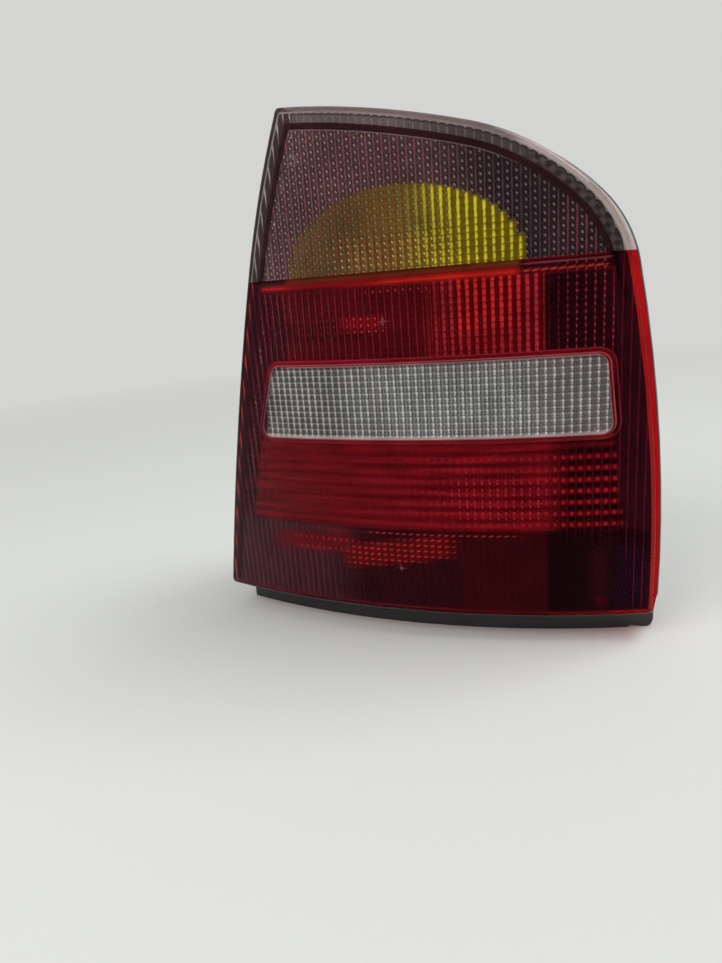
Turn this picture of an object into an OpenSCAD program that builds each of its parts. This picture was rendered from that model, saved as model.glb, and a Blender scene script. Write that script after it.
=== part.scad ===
// Right-hand tail light cluster for a passenger car.
// The origin lies on the mounting face, in the middle of the four studs.
// +X points to the side of the car, +Y into the car and +Z up, in millimetres.

/* [Lens outline] */
// Height of the lens's lower edge
lens_foot_z = -104.4; // [-110:0.1:-100]
// Side of the lower outer corner
right_foot_x = 113.6; // [110:0.1:118]
// Direction of the outer edge at its foot, in degrees from level
right_heading = 88.4; // [86:0.1:90]
// Radius of the long outer edge
right_r = 968; // [900:1:1050]
// How far below the line that divides the lens the shoulder starts
shoulder_drop = 5; // [3:0.1:8]
// Radius of the shoulder
shoulder_r = 71; // [65:0.5:76]
// Direction of the outline where the shoulder ends, in degrees from level
shoulder_heading = 131.8; // [130:0.1:134]
// Radius of the crown
crown_r = 121; // [114:0.5:128]
// Direction of the outline where the crown ends, in degrees from level
crown_heading = 163.3; // [161.5:0.1:165]
// Radius of the long upper edge
top_r = 526; // [460:1:600]
// Side of the lower inner corner
left_foot_x = -147.2; // [-152:0.1:-142]
// Direction of the inner edge at its foot, in degrees from level
left_heading = 78.6; // [77.5:0.1:79.5]
// Radius of the lower part of the inner edge
left_r = 2620; // [2000:10:3200]
// Radius of the upper part of the inner edge
left_top_r = 592; // [540:1:660]
// Corner radius of the outline
corner_r = 2.5; // [1.5:0.1:3.5]

/* [Lens] */
// Radius of the lens's outer surface, seen from above
sweep_r = 445; // [430:1:470]
// Side at which that surface stands furthest out
apex_x = -105.4; // [-115:0.1:-95]
// Depth from there to the mounting face
lamp_depth = 88; // [86:0.5:94]
// Wall of the lens between its flutes
lens_wall = 2.3; // [2:0.1:2.6]
// Distance between flutes
flute_pitch = 4; // [3:0.1:6]
// Height of a flute
flute_h = 0.7; // [0.4:0.1:0.9]
// Depth of the lens's side walls
skirt_depth = 17; // [14:0.5:18]
// Thickness of the side walls
skirt_wall = 2.5; // [2:0.1:2.8]
// Height of the line between the smoked and the red lens, over the lens's foot
division_h = 195.1; // [193.1:0.1:195.4]

/* [Reverse window] */
// Height of the window's upper edge over the lens's foot
window_top_h = 146.8; // [145.4:0.1:147.4]
// Height of the window's lower edge over the lens's foot
window_foot_h = 105.2; // [104.8:0.1:106.4]
// Inner end of the window, at its upper edge
window_left = -89.2; // [-92:0.1:-86]
// How far the inner end leans out towards its foot
window_lean = 13.6; // [10:0.1:15]
// Outer end of the window, at its upper edge
window_right = 89.8; // [86:0.1:91]
// How far the outer end leans out towards its foot
window_right_lean = 3.6; // [2:0.1:4]
// Corner radius of the window
window_r = 5.5; // [3:0.1:7]

/* [Reflex band] */
// Inner end of the band
band_left = -113.5; // [-115:0.1:-110]
// Outer end of the band
band_right = 97; // [94:0.1:97.5]
// Height of the band's lower edge, as it shows, over the lens's foot
band_foot_h = 52.7; // [51.4:0.1:53.4]
// Thickness of the band
band_wall = 3; // [2.4:0.1:3.1]
// Distance between its level ribs
rib_pitch = 6; // [4:0.1:9]
// Height of the ribs
rib_h = 0.8; // [0.4:0.1:1]

/* [Indicator filter] */
// Middle of the amber cap
cap_x = -12.5; // [-14:0.1:-11]
// Half of the cap's width
cap_half_w = 62; // [58:0.1:64]
// Height of the cap over its flat foot
cap_h = 42.5; // [38:0.1:43]
// Gap between the line that divides the lens and the cap's flat foot
cap_gap = 0.8; // [0.5:0.1:1.3]
// Wall of the cap
cap_wall = 1.8; // [1.5:0.1:2.2]
// Depth of the cap's front behind the lens's outer surface
cap_inset = 8; // [7:0.1:10]
// Depth of the cap's rim behind the lens's outer surface
cap_seat = 26; // [24:0.1:28]

/* [Housing] */
// Thickness of the housing's walls
shell_wall = 2.3; // [2:0.1:2.6]
// Thickness of its back
back_wall = 2.5; // [2:0.1:3]
// Distance from the lens's edge to the housing's side walls
shell_inset = 9; // [8:0.1:9.5]
// Thickness of the rim that the lens stands on
rim_wall = 3; // [2.5:0.1:3.5]
// Distance from the lens's edge to the rim's edge
rim_inset = 1; // [0.5:0.1:1.5]
// Depth of the front of the side walls behind the lens's outer surface
wall_front = 6.6; // [6.4:0.1:8]
// Height of the ridge that centres the lens
ridge_h = 3.5; // [2:0.1:4]
// Thickness of that ridge
ridge_wall = 1.5; // [1:0.1:1.8]
// How far the lip reaches below the lens
lip_drop = 15.9; // [11.6:0.1:17.6]
// Inner end of the lip
lip_left = -140.7; // [-143:0.1:-136]
// Outer end of the lip
lip_right = 110.8; // [108:0.1:111]
// Corner radius at the lip's outer end
lip_r = 3.5; // [2:0.1:5]
// Distance from the lip's outer end to its notch
notch_x = 11; // [9:0.1:14]
// Width of the notch
notch_w = 1.6; // [1:0.1:3]
// Height of the notch
notch_h = 1.4; // [0.8:0.1:2]
// Number of stiffening ribs behind the lip
lip_ribs = 7; // [3:1:9]
// Number of stiffening ribs beside the inner wall
side_ribs = 5; // [2:1:7]
// Thickness of the stiffening ribs
gusset_wall = 1.8; // [1.2:0.1:2.4]
// Length of the stiffening ribs
gusset_length = 24; // [14:0.5:34]

/* [Reflector] */
// Wall of the reflector
reflector_wall = 1.5; // [1.2:0.1:2]
// Wall between two cells
cell_wall = 2; // [1.5:0.1:2]
// Inner end of the stop cell
stop_left = -88; // [-90:0.1:-84]
// Outer end of the stop and fog cells
cell_right = 62; // [58:0.1:64]
// Inner end of the reverse cell
reverse_left = -101; // [-103:0.1:-98]
// Outer end of the reverse cell
reverse_right = 93; // [90:0.1:94]
// Height of the fog cell's lower edge over the lens's foot
fog_foot_h = 14.4; // [13.9:0.1:16.4]
// Inner end of the fog cell
fog_left = -124; // [-125:0.1:-118]
// Distance from the mounting face to the bottoms of the bowls
bowl_y = 18; // [17:0.1:20]
// Focal length of the indicator bowl
indicator_focus = 20; // [16:0.5:24]
// Focal length of the stop bowl
stop_focus = 24; // [20:0.5:30]
// Focal length of the reverse bowl
reverse_focus = 190; // [180:1:240]
// Focal length of the fog bowl
fog_focus = 26; // [22:0.5:32]

/* [Bulbs] */
// Side of the four bulbs
bulb_x = -14; // [-16:0.1:-12]
// Height of the indicator bulb over the amber cap's foot
indicator_rise = 19.5; // [18.5:0.1:20.5]
// Height of the fog bulb over the lens's foot
fog_bulb_h = 36.4; // [35.9:0.1:37.4]
// Distance of the two contacts of the stop and tail bulb from its axis
twin_dz = 3.5; // [3.2:0.1:3.8]
// Radius of a bulb's metal cap
cap_r = 7.5; // [7.5:0.1:7.6]
// Length of a bulb's metal cap
cap_length = 20; // [19:0.1:21]
// Radius of a bulb's glass
glass_r = 12.5; // [11:0.1:12.8]
// Radius of the glass at its neck
neck_r = 7; // [6.5:0.1:7.1]
// Length of a bulb's glass
glass_length = 34; // [31:0.1:36]
// Wall of the glass
glass_wall = 0.9; // [0.6:0.1:1.2]
// Radius of the bayonet pins
bayonet_r = 1; // [0.8:0.1:1.1]
// How far the bayonet pins stand out of the cap
bayonet_reach = 1.5; // [1.2:0.1:1.7]

/* [Bulb carrier] */
// Left edge of the opening in the housing's back
opening_left = -50; // [-51:0.1:-48]
// Right edge of the opening
opening_right = 36; // [35:0.1:37]
// Distance from the outer socket cups to the opening's ends
opening_margin = 2; // [1.5:0.1:2.5]
// Corner radius of the opening
opening_r = 9; // [6:0.1:12]
// Thickness of the collar round the opening
collar_wall = 2; // [1.6:0.1:2.2]
// Height of the collar
collar_h = 3; // [2.5:0.1:3.2]
// Thickness of the rubber ring on the collar
seal_t = 1.5; // [1:0.1:2]
// Thickness of the carrier's plate
plate_t = 2.5; // [2:0.1:3]
// How far the plate reaches past the opening
plate_reach = 3; // [3:0.1:3.4]
// Outer radius of a socket cup
cup_r = 11; // [10.4:0.1:11.5]
// Depth of a socket cup
cup_depth = 16.5; // [15:0.1:17]
// Side of the connector's middle
plug_x = -3; // [-3.5:0.1:-2.5]
// Height of the connector's middle over the fog bulb
plug_rise = 43; // [42:0.1:44]
// Inner width of the connector
plug_w = 34.8; // [34:0.1:36]
// Inner height of the connector
plug_h = 11.8; // [11:0.1:13]
// Depth of the connector
plug_depth = 14; // [12:0.1:18]
// Wall of the connector
plug_wall = 1.6; // [1.2:0.1:2]
// Distance between connector blades
blade_pitch = 5; // [4.8:0.1:5.2]
// Width of a blade
blade_w = 2.8; // [2.4:0.1:3]
// Length of a blade
blade_length = 9; // [7:0.1:10]
// Width of the snap hooks
hook_w = 12; // [8:0.1:16]
// Distance from the opening's top to the middle of the upper hooks
upper_hook_drop = 19.2; // [17:0.1:24]
// Distance from the opening's foot to the middle of the lower hooks
lower_hook_rise = 48; // [40:0.1:52]

/* [Tracks] */
// Thickness of the stamped tracks
track_t = 0.8; // [0.6:0.1:1]
// Width of the stamped tracks
track_w = 3.6; // [3:0.1:3.8]
// Distance between tracks that run down side by side
track_step = 7; // [6.5:0.1:7.2]
// Distance from the socket cups to the first of these tracks
lane_gap = 20; // [19:0.1:20.5]
// Distance between tracks that run across one over the other
turn_step = 6.3; // [6:0.1:6.4]
// Distance from the reverse socket cup down to the first of these tracks
turn_gap = 5.6; // [5:0.1:6]
// Distance from the opening's inner edge to the ground track
bus_inset = 6; // [5:0.1:8]
// Thickness of the ground contacts beside the bulbs
tab_t = 1.8; // [1.2:0.1:1.8]
// Radius of the stakes that hold the tracks on the carrier
stake_r = 0.9; // [0.7:0.1:1]
// Radius of the stakes' heads
stake_head_r = 1.6; // [1.4:0.1:1.8]
// Height of the stakes' heads
stake_head_t = 0.9; // [0.6:0.1:1.2]

/* [Mounting] */
// Distance between studs, side to side
stud_dx = 148; // [144:1:150]
// Distance between studs, up and down
stud_dz = 142; // [138:1:142]
// Radius of a stud
stud_r = 3; // [2.5:0.5:4]
// How much thicker a stud is inside its boss
stud_root_step = 0.5; // [0.3:0.1:0.8]
// Length of a stud past the mounting face
stud_length = 18; // [12:0.5:25]
// Thickness of the foam gasket
gasket_t = 4; // [3.5:0.1:5]
// Distance from the mounting face to the bosses' faces inside the gasket
boss_gap = 1; // [0.5:0.1:2]
// Width of the foam gasket
gasket_w = 8; // [6:0.1:8.4]
// Distance from the lens's edge to the gasket
gasket_inset = 10; // [9.6:0.1:10.2]
// Radius of the locating pin
locator_r = 4; // [3:0.1:5]
// Length of the locating pin past the mounting face
locator_length = 12; // [8:0.5:16]
// Side of the locating pin
locator_x = 80; // [76:0.5:83]
// Height of the locating pin
locator_z = -24; // [-30:0.5:-18]
// Radius of a breather cap
breather_r = 6; // [5:0.1:7]
// Height of a breather cap
breather_h = 5; // [4:0.1:8]
// Height of the two breathers' middles
breather_z = 12; // [5:0.5:20]
// Side of the breathers, left and right of the origin
breather_x = 80; // [76:0.5:84]

/* [Fits] */
// Clearance between parts that don't bear on each other
clearance = 0.3; // [0.2:0.05:0.4]

/* [Hidden] */
$fn = 64;
// A round that is swept as wide as the lens is drawn with finer steps
wide_fn = 360;
over = 1;
smallest_bend = 20;

// Heights, all of them carried by the lens's foot
lip_foot_z = lens_foot_z - lip_drop;
division_z = lens_foot_z + division_h;
window_top = lens_foot_z + window_top_h;
window_foot = lens_foot_z + window_foot_h;
band_foot = lens_foot_z + band_foot_h;
cap_foot_z = division_z + cap_gap;
stop_top = division_z - cell_wall;
stop_foot = window_top + cell_wall;
reverse_top = window_top - cell_wall;
reverse_foot = window_foot + cell_wall;
fog_foot = lens_foot_z + fog_foot_h;
indicator_z = cap_foot_z + indicator_rise;
stop_z = (stop_top + stop_foot) / 2;
reverse_z = (reverse_top + reverse_foot) / 2;
fog_z = lens_foot_z + fog_bulb_h;
bulb_zs = [indicator_z, stop_z, reverse_z, fog_z];
opening_top = indicator_z + cup_r + opening_margin;
opening_foot = fog_z - cup_r - opening_margin;
plug_z = fog_z + plug_rise;

// Levels along Y, from the mounting face towards the lens
back_y = -gasket_t;
back_front_y = back_y - back_wall;
seal_y = back_y + collar_h;
plate_y = seal_y + seal_t;
plate_back_y = plate_y + plate_t;
track_back_y = plate_back_y + track_t;
reach_y = -lamp_depth - over;

sweep_y = sweep_r - lamp_depth;
rim_back = skirt_depth + rim_wall;
ridge_inset = skirt_wall + clearance;
reflector_inset = shell_inset + shell_wall + clearance;

function unit(a) = [cos(a), sin(a)];
function arc(c, r, from, to, steps) =
    [for (i = [0 : steps]) c + r * unit(from + (to - from) * i / steps)];
function shorter(points) = [for (i = [0 : len(points) - 2]) points[i]];

// Where two circles cross, at the upper of the two points
function crossing(c0, r0, c1, r1) =
    let (d = norm(c1 - c0), a = (r0 * r0 - r1 * r1 + d * d) / (2 * d))
    let (h = sqrt(r0 * r0 - a * a), u = (c1 - c0) / d, m = c0 + a * u)
    let (side = h * [-u.y, u.x])
    (m + side).y > (m - side).y ? m + side : m - side;

// The sharp corners of a convex outline become arcs of radius r
function bend(a, p, b) = 180 - acos((a - p) * (b - p) / norm(a - p) / norm(b - p));
function fillet(a, p, b, r, steps) =
    let (u = (a - p) / norm(a - p), v = (b - p) / norm(b - p))
    let (half = acos(u * v) / 2, c = p + (u + v) / norm(u + v) * r / sin(half))
    let (start = p + u * r / tan(half) - c, turn = 180 - 2 * half)
    let (from = atan2(start.y, start.x))
    [for (i = [0 : steps]) c + r * unit(from + turn * i / steps)];
function rounded(points, r, steps = 4) = [
    for (i = [0 : len(points) - 1])
        let (n = len(points), a = points[(i + n - 1) % n], p = points[i], b = points[(i + 1) % n])
        for (q = bend(a, p, b) > smallest_bend ? fillet(a, p, b, r, steps) : [p]) q
];

// The outer edge and the top are four arcs that follow each other smoothly
right_c = [right_foot_x, lens_foot_z] + right_r * unit(right_heading + 90);
shoulder_a = asin((division_z - shoulder_drop - right_c.y) / right_r);
shoulder_c = right_c + (right_r - shoulder_r) * unit(shoulder_a);
crown_a = shoulder_heading - 90;
crown_c = shoulder_c + (shoulder_r - crown_r) * unit(crown_a);
top_a = crown_heading - 90;
top_c = crown_c + (crown_r - top_r) * unit(top_a);

// The inner edge is two arcs, which meet at the line that divides the lens
left_c = [left_foot_x, lens_foot_z] - left_r * unit(left_heading + 90);
left_top_a = 180 - asin((division_z - left_c.y) / left_r);
left_top_c = left_c + (left_r - left_top_r) * unit(left_top_a);

// Height of everything between the lip's foot and the lens's tip, with a little over at both ends
lens_tip_z = crossing(top_c, top_r, left_top_c, left_top_r).y;
full_h = lens_tip_z - lip_foot_z + 2 * over;

// The lens's outline, moved in by inset
function outline(inset) =
    let (foot = lens_foot_z + inset)
    let (tip = crossing(top_c, top_r - inset, left_top_c, left_top_r - inset))
    let (tip_a = atan2((tip - top_c).y, (tip - top_c).x))
    let (tip_left_a = atan2((tip - left_top_c).y, (tip - left_top_c).x))
    let (right_from = asin((foot - right_c.y) / (right_r - inset)))
    let (left_to = 180 - asin((foot - left_c.y) / (left_r - inset)))
    rounded(concat(
        shorter(arc(right_c, right_r - inset, right_from, shoulder_a, 8)),
        shorter(arc(shoulder_c, shoulder_r - inset, shoulder_a, crown_a, 8)),
        shorter(arc(crown_c, crown_r - inset, crown_a, top_a, 8)),
        shorter(arc(top_c, top_r - inset, top_a, tip_a, 6)),
        shorter(arc(left_top_c, left_top_r - inset, tip_left_a, left_top_a, 5)),
        arc(left_c, left_r - inset, left_top_a, left_to, 6)
    ), corner_r);

// Side of the inner edge at height z, moved in by inset
function left_x(z, inset) =
    z > division_z
    ? left_top_c.x - sqrt(pow(left_top_r - inset, 2) - pow(z - left_top_c.y, 2))
    : left_c.x - sqrt(pow(left_r - inset, 2) - pow(z - left_c.y, 2));

// Depth Y of the surface that lies in by depth behind the lens's outer surface
function sweep_depth(x, depth) = sweep_y - sqrt(pow(sweep_r - depth, 2) - pow(x - apex_x, 2));

// A front outline drawn in X and Z becomes a column along Y
module column(points, from_y, to_y) {
    translate([0, to_y, 0])
        rotate([90, 0, 0])
            linear_extrude(to_y - from_y)
                polygon(points);
}

// Everything that lies deeper than depth behind the lens's outer surface
module behind(depth) {
    translate([apex_x, sweep_y, lip_foot_z - over])
        cylinder(r = sweep_r - depth, h = full_h, $fn = wide_fn);
}

module box(x0, x1, y0, y1, z0, z1) {
    translate([x0, y0, z0])
        cube([x1 - x0, y1 - y0, z1 - z0]);
}

// A round rod or hole along Y
module rod(x, z, r, from_y, to_y) {
    translate([x, to_y, z])
        rotate([90, 0, 0])
            cylinder(r = r, h = to_y - from_y);
}

// A turned piece on an axis along Y: profile points are [radius, distance in front of from_y]
module turned(x, z, from_y, profile) {
    translate([x, from_y, z])
        rotate([90, 0, 0])
            rotate_extrude()
                polygon(profile);
}

// The space behind a fluted wall, with its zigzag front face
module fluted_space(base_depth, height, pitch) {
    step = pitch / sweep_r * 180 / PI / 2;
    first = asin((left_foot_x - over - apex_x) / sweep_r);
    last = asin((right_foot_x + over - apex_x) / sweep_r);
    count = ceil((last - first) / step / 2) * 2;
    front = [
        for (i = [0 : count])
            (sweep_r - base_depth - (i % 2 == 0 ? 0 : height)) * unit(first + i * step - 90)
    ];
    inner_r = sweep_r / 2;
    translate([apex_x, sweep_y, lip_foot_z - over])
        linear_extrude(full_h)
            polygon(concat(front, [inner_r * unit(last + step - 90), inner_r * unit(first - 90)]));
}

// The whole lens before it is divided by colour
module lens_body() {
    difference() {
        intersection() {
            column(outline(0), reach_y, over);
            behind(0);
        }
        behind(skirt_depth);
        intersection() {
            column(outline(skirt_wall), reach_y, over);
            fluted_space(lens_wall, flute_h, flute_pitch);
        }
    }
}

function window_outline() = rounded([
    [window_right, window_top],
    [window_left, window_top],
    [window_left - window_lean, window_foot],
    [window_right + window_right_lean, window_foot]
], window_r, 5);

module below_division() {
    box(left_foot_x - over, right_foot_x + over, reach_y, over, lip_foot_z, division_z);
}

module lens_smoke() {
    color("rosybrown")
        difference() {
            lens_body();
            below_division();
        }
}

module lens_red() {
    color("firebrick")
        difference() {
            intersection() {
                lens_body();
                below_division();
            }
            column(window_outline(), reach_y, over);
        }
}

module lens_clear() {
    color("lightgrey")
        intersection() {
            lens_body();
            column(window_outline(), reach_y, over);
        }
}

// A plate turned about the lens's own axis, with level ribs on its front
module reflex_band() {
    plate_foot = band_foot - cell_wall;
    band_h = window_foot - plate_foot;
    ribs = floor(band_h / rib_pitch);
    margin = (band_h - ribs * rib_pitch) / 2;
    rear_r = sweep_r - wall_front;
    valley_r = rear_r + band_wall - rib_h;
    rib_front = [
        for (i = [0 : 2 * ribs - 1])
            [valley_r + (i % 2) * rib_h, margin + i * rib_pitch / 2]
    ];
    front = concat([[valley_r, 0]], rib_front, [[valley_r, band_h - margin], [valley_r, band_h]]);
    color("crimson")
        intersection() {
            translate([apex_x, sweep_y, plate_foot])
                rotate_extrude($fn = wide_fn)
                    polygon(concat(front, [[rear_r, band_h], [rear_r, 0]]));
            box(band_left, band_right, reach_y, 0, plate_foot - over, window_foot + over);
        }
}

function half_ellipse(half_w, h, foot) =
    [for (i = [0 : 24]) [cap_x + half_w * cos(180 * i / 24), foot + h * sin(180 * i / 24)]];
function cap_outline() = half_ellipse(cap_half_w, cap_h, cap_foot_z);
function cap_inner_outline() =
    half_ellipse(cap_half_w - cap_wall, cap_h - 2 * cap_wall, cap_foot_z + cap_wall);

module indicator_filter() {
    color("goldenrod")
        difference() {
            intersection() {
                column(cap_outline(), reach_y, over);
                behind(cap_inset);
            }
            behind(cap_seat);
            intersection() {
                column(cap_inner_outline(), reach_y, over);
                fluted_space(cap_inset + cap_wall - flute_h, flute_h, flute_pitch);
            }
        }
}

// The space in front of a bowl's surface, and the space behind its wall
bowl_steps = 12;
function bowl_reach(focus) = sqrt(4 * focus * lamp_depth);
function bowl_curve(focus, lift) = [
    for (i = [0 : bowl_steps])
        let (r = bowl_reach(focus) * i / bowl_steps)
        [r, r * r / (4 * focus) - lift]
];
function bowl_front(focus) = concat(bowl_curve(focus, 0), [[0, lamp_depth]]);
function bowl_rear(focus) =
    let (far = bowl_reach(focus) + 3 * lamp_depth)
    concat(bowl_curve(focus, reflector_wall), [[far, lamp_depth], [far, -bowl_y], [0, -bowl_y]]);

// One cell: a wall round its mouth and a bowl inside it, open for the bulb
module cell_space(points, z, focus) {
    column_from = -bowl_y - 2 * lamp_depth;
    intersection() {
        column(points, column_from, over);
        turned(bulb_x, z, -bowl_y, bowl_front(focus));
    }
    intersection() {
        column(points, column_from, over);
        turned(bulb_x, z, -bowl_y, bowl_rear(focus));
    }
    rod(bulb_x, z, glass_r + over, -lamp_depth, over);
}

function cell(x0, x1, z0, z1) = [[x0, z0], [x1, z0], [x1, z1], [x0, z1]];
function stop_cell(grow = 0) =
    cell(stop_left - grow, cell_right + grow, stop_foot - grow, stop_top + grow);
function reverse_cell(grow = 0) =
    cell(reverse_left - grow, reverse_right + grow, reverse_foot - grow, reverse_top + grow);
function fog_cell(grow = 0) =
    cell(fog_left - grow, cell_right + grow, fog_foot - grow, band_foot - cell_wall + grow);

// Open cells in one moulding: their rims bear on the filter and the band, their backs on the housing
module reflector() {
    color("silver")
        intersection() {
            difference() {
                union() {
                    difference() {
                        behind(cap_seat);
                        behind(cap_seat + reflector_wall);
                    }
                    intersection() {
                        union() {
                            column(stop_cell(cell_wall), reach_y, back_front_y);
                            column(reverse_cell(cell_wall), reach_y, back_front_y);
                            column(fog_cell(cell_wall), reach_y, back_front_y);
                        }
                        behind(wall_front);
                    }
                    intersection() {
                        column(cap_outline(), reach_y, back_front_y);
                        behind(cap_seat);
                    }
                }
                cell_space(stop_cell(), stop_z, stop_focus);
                cell_space(reverse_cell(), reverse_z, reverse_focus);
                cell_space(fog_cell(), fog_z, fog_focus);
                cell_space(cap_inner_outline(), indicator_z, indicator_focus);
            }
            difference() {
                column(outline(reflector_inset), reach_y, back_front_y);
                stud_head_space();
            }
        }
}

function opening_outline(grow) = rounded([
    [opening_right + grow, opening_top + grow],
    [opening_left - grow, opening_top + grow],
    [opening_left - grow, opening_foot - grow],
    [opening_right + grow, opening_foot - grow]
], opening_r + grow, 5);

// The lip under the lens, with a round outer end and a small notch beside it
module lip() {
    notch_at = lip_right - notch_x;
    corner = [lip_right, lip_foot_z];
    intersection() {
        column(concat(
            [
                [lip_right, lens_foot_z + shell_inset],
                [lip_left, lens_foot_z + shell_inset],
                [lip_left, lip_foot_z],
                [notch_at - notch_w, lip_foot_z],
                [notch_at, lip_foot_z + notch_h]
            ],
            fillet([notch_at, lip_foot_z], corner, [lip_right, lens_foot_z], lip_r, 5)
        ), reach_y, over);
        behind(skirt_depth);
    }
}

// Triangular ribs between the rim and the side walls
module lip_gusset(x) {
    y = sweep_depth(x, rim_back) - over;
    wall_z = lens_foot_z + shell_inset + over;
    run = min(gusset_length, back_y - y);
    translate([x - gusset_wall / 2, 0, 0])
        rotate([90, 0, 90])
            linear_extrude(gusset_wall)
                polygon([[y, lip_foot_z + lip_r], [y, wall_z], [y + run, wall_z]]);
}

module side_gusset(z) {
    edge_x = left_x(z, rim_inset) + over;
    wall_x = left_x(z, shell_inset) + over;
    y = sweep_depth(edge_x, rim_back) - over;
    translate([0, 0, z - gusset_wall / 2])
        linear_extrude(gusset_wall)
            polygon([[edge_x, y], [wall_x, y], [wall_x, y + gusset_length]]);
}

// A snap hook that reaches over the carrier's plate, on its left (side -1) or right (side 1)
module hook(side, z) {
    edge = side > 0 ? opening_right + plate_reach : opening_left - plate_reach;
    near = edge + side * clearance;
    outer = near + side * collar_wall;
    nib = edge - side * collar_wall;
    tip_y = plate_back_y + collar_wall;
    translate([0, 0, z - hook_w / 2])
        linear_extrude(hook_w)
            polygon([
                [near, back_y - over], [outer, back_y - over], [outer, tip_y],
                [near, tip_y], [nib, plate_back_y], [near, plate_back_y]
            ]);
}

hook_zs = [opening_top - upper_hook_drop, opening_foot + lower_hook_rise];

module at_studs() {
    for (sx = [-1, 1])
        for (sz = [-1, 1])
            translate([sx * stud_dx / 2, 0, sz * stud_dz / 2])
                children();
}

boss_wall = 4;
boss_r = stud_r + boss_wall;
boss_y = -boss_gap;
stud_root_r = stud_r + stud_root_step;
stud_head_r = stud_r * 2;
stud_head_t = 2.5;

// The room that a stud's head needs in front of the housing's back
module stud_head_space() {
    at_studs()
        rod(0, 0, stud_head_r + clearance, back_front_y - stud_head_t - clearance, back_front_y);
}

module housing() {
    color("dimgray")
        difference() {
            union() {
                // Rim and lip that the lens stands on
                difference() {
                    union() {
                        intersection() {
                            column(outline(rim_inset), reach_y, over);
                            behind(skirt_depth);
                        }
                        lip();
                    }
                    behind(rim_back);
                    column(outline(shell_inset + shell_wall), reach_y, over);
                }
                // Ridge inside the lens's skirt
                difference() {
                    intersection() {
                        column(outline(ridge_inset), reach_y, over);
                        behind(skirt_depth - ridge_h);
                    }
                    behind(skirt_depth + over);
                    column(outline(ridge_inset + ridge_wall), reach_y - over, 2 * over);
                }
                // Side walls and back
                difference() {
                    intersection() {
                        column(outline(shell_inset), reach_y, back_y);
                        behind(wall_front);
                    }
                    column(outline(shell_inset + shell_wall), reach_y - over, back_front_y);
                }
                column(opening_outline(collar_wall), back_y - over, seal_y);
                for (x = [1 : lip_ribs])
                    lip_gusset(lip_left + (lip_right - lip_left) * x / (lip_ribs + 1));
                for (z = [1 : side_ribs])
                    side_gusset(lens_foot_z + (division_z - lens_foot_z) * z / (side_ribs + 1));
                for (side = [-1, 1])
                    for (z = hook_zs)
                        hook(side, z);
                at_studs()
                    rod(0, 0, boss_r, back_y - over, boss_y);
                rod(locator_x, locator_z, boss_r, back_y - over, boss_y);
                turned(locator_x, locator_z, locator_length, [
                    [0, 0], [locator_r / 2, 0], [locator_r, locator_r / 2],
                    [locator_r, locator_length + gasket_t], [0, locator_length + gasket_t]
                ]);
            }
            column(opening_outline(0), back_front_y - over, over);
            at_studs()
                rod(0, 0, stud_root_r, back_front_y - over, over);
            for (side = [-1, 1])
                rod(side * breather_x, breather_z, breather_r / 3, back_front_y - over, over);
            stud_head_space();
        }
}

module body_gasket() {
    color("black")
        difference() {
            column(outline(gasket_inset), back_y, 0);
            column(outline(gasket_inset + gasket_w), back_y - over, over);
            at_studs()
                rod(0, 0, boss_r + clearance, back_y - over, over);
            rod(locator_x, locator_z, boss_r + clearance, back_y - over, over);
        }
}

// A stud with a thicker root in its boss and a flat round head inside the housing's back
module mounting_studs() {
    chamfer = stud_r / 4;
    color("silver")
        at_studs()
            turned(0, 0, stud_length, [
                [0, 0], [stud_r - chamfer, 0], [stud_r, chamfer],
                [stud_r, stud_length - boss_y], [stud_root_r, stud_length - boss_y],
                [stud_root_r, stud_length - back_front_y], [stud_head_r, stud_length - back_front_y],
                [stud_head_r, stud_length - back_front_y + stud_head_t],
                [0, stud_length - back_front_y + stud_head_t]
            ]);
}

// A rubber cap with a blind hole, over the vent hole in the housing's back
module breather_caps() {
    top_y = back_y + breather_h;
    color("black")
        for (side = [-1, 1])
            turned(side * breather_x, breather_z, top_y, [
                [0, 0], [breather_r - over, 0], [breather_r, over], [breather_r, breather_h],
                [breather_r / 2, breather_h], [breather_r / 2, breather_h / 2], [0, breather_h / 2]
            ]);
}

module carrier_seal() {
    color("black")
        difference() {
            column(opening_outline(collar_wall), seal_y, plate_y);
            column(opening_outline(0), seal_y - over, plate_y + over);
        }
}

cup_bore_r = cap_r + 0.2;
cup_front_y = plate_y - cup_depth;
slot_r = cap_r + 2.1;
contact_r = 1.8;
contact_hole_r = contact_r + clearance;
bayonet_y = plate_y - cup_depth / 2;
cap_floor_gap = 2;
cap_back_y = plate_y - cap_floor_gap;
bump_h = 0.8;
bump_r = 2;

// A socket cup on the plate, before it is bored
module cup(z) {
    rod(bulb_x, z, cup_r, cup_front_y, plate_y + over);
}

// The bore, the two bayonet slots and the slot of the ground contact
module cup_space(z) {
    slot_w = 2 * bayonet_r + 2 * clearance;
    rod(bulb_x, z, cup_bore_r, cup_front_y - over, plate_y);
    box(bulb_x - slot_w / 2, bulb_x + slot_w / 2, cup_front_y - over, bayonet_y + bayonet_r + clearance,
        z - slot_r, z + slot_r);
    box(bulb_x - slot_r, bulb_x - cap_r + clearance, cup_front_y + track_w, plate_back_y + over,
        z - track_w / 2 - clearance, z + track_w / 2 + clearance);
}

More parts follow.
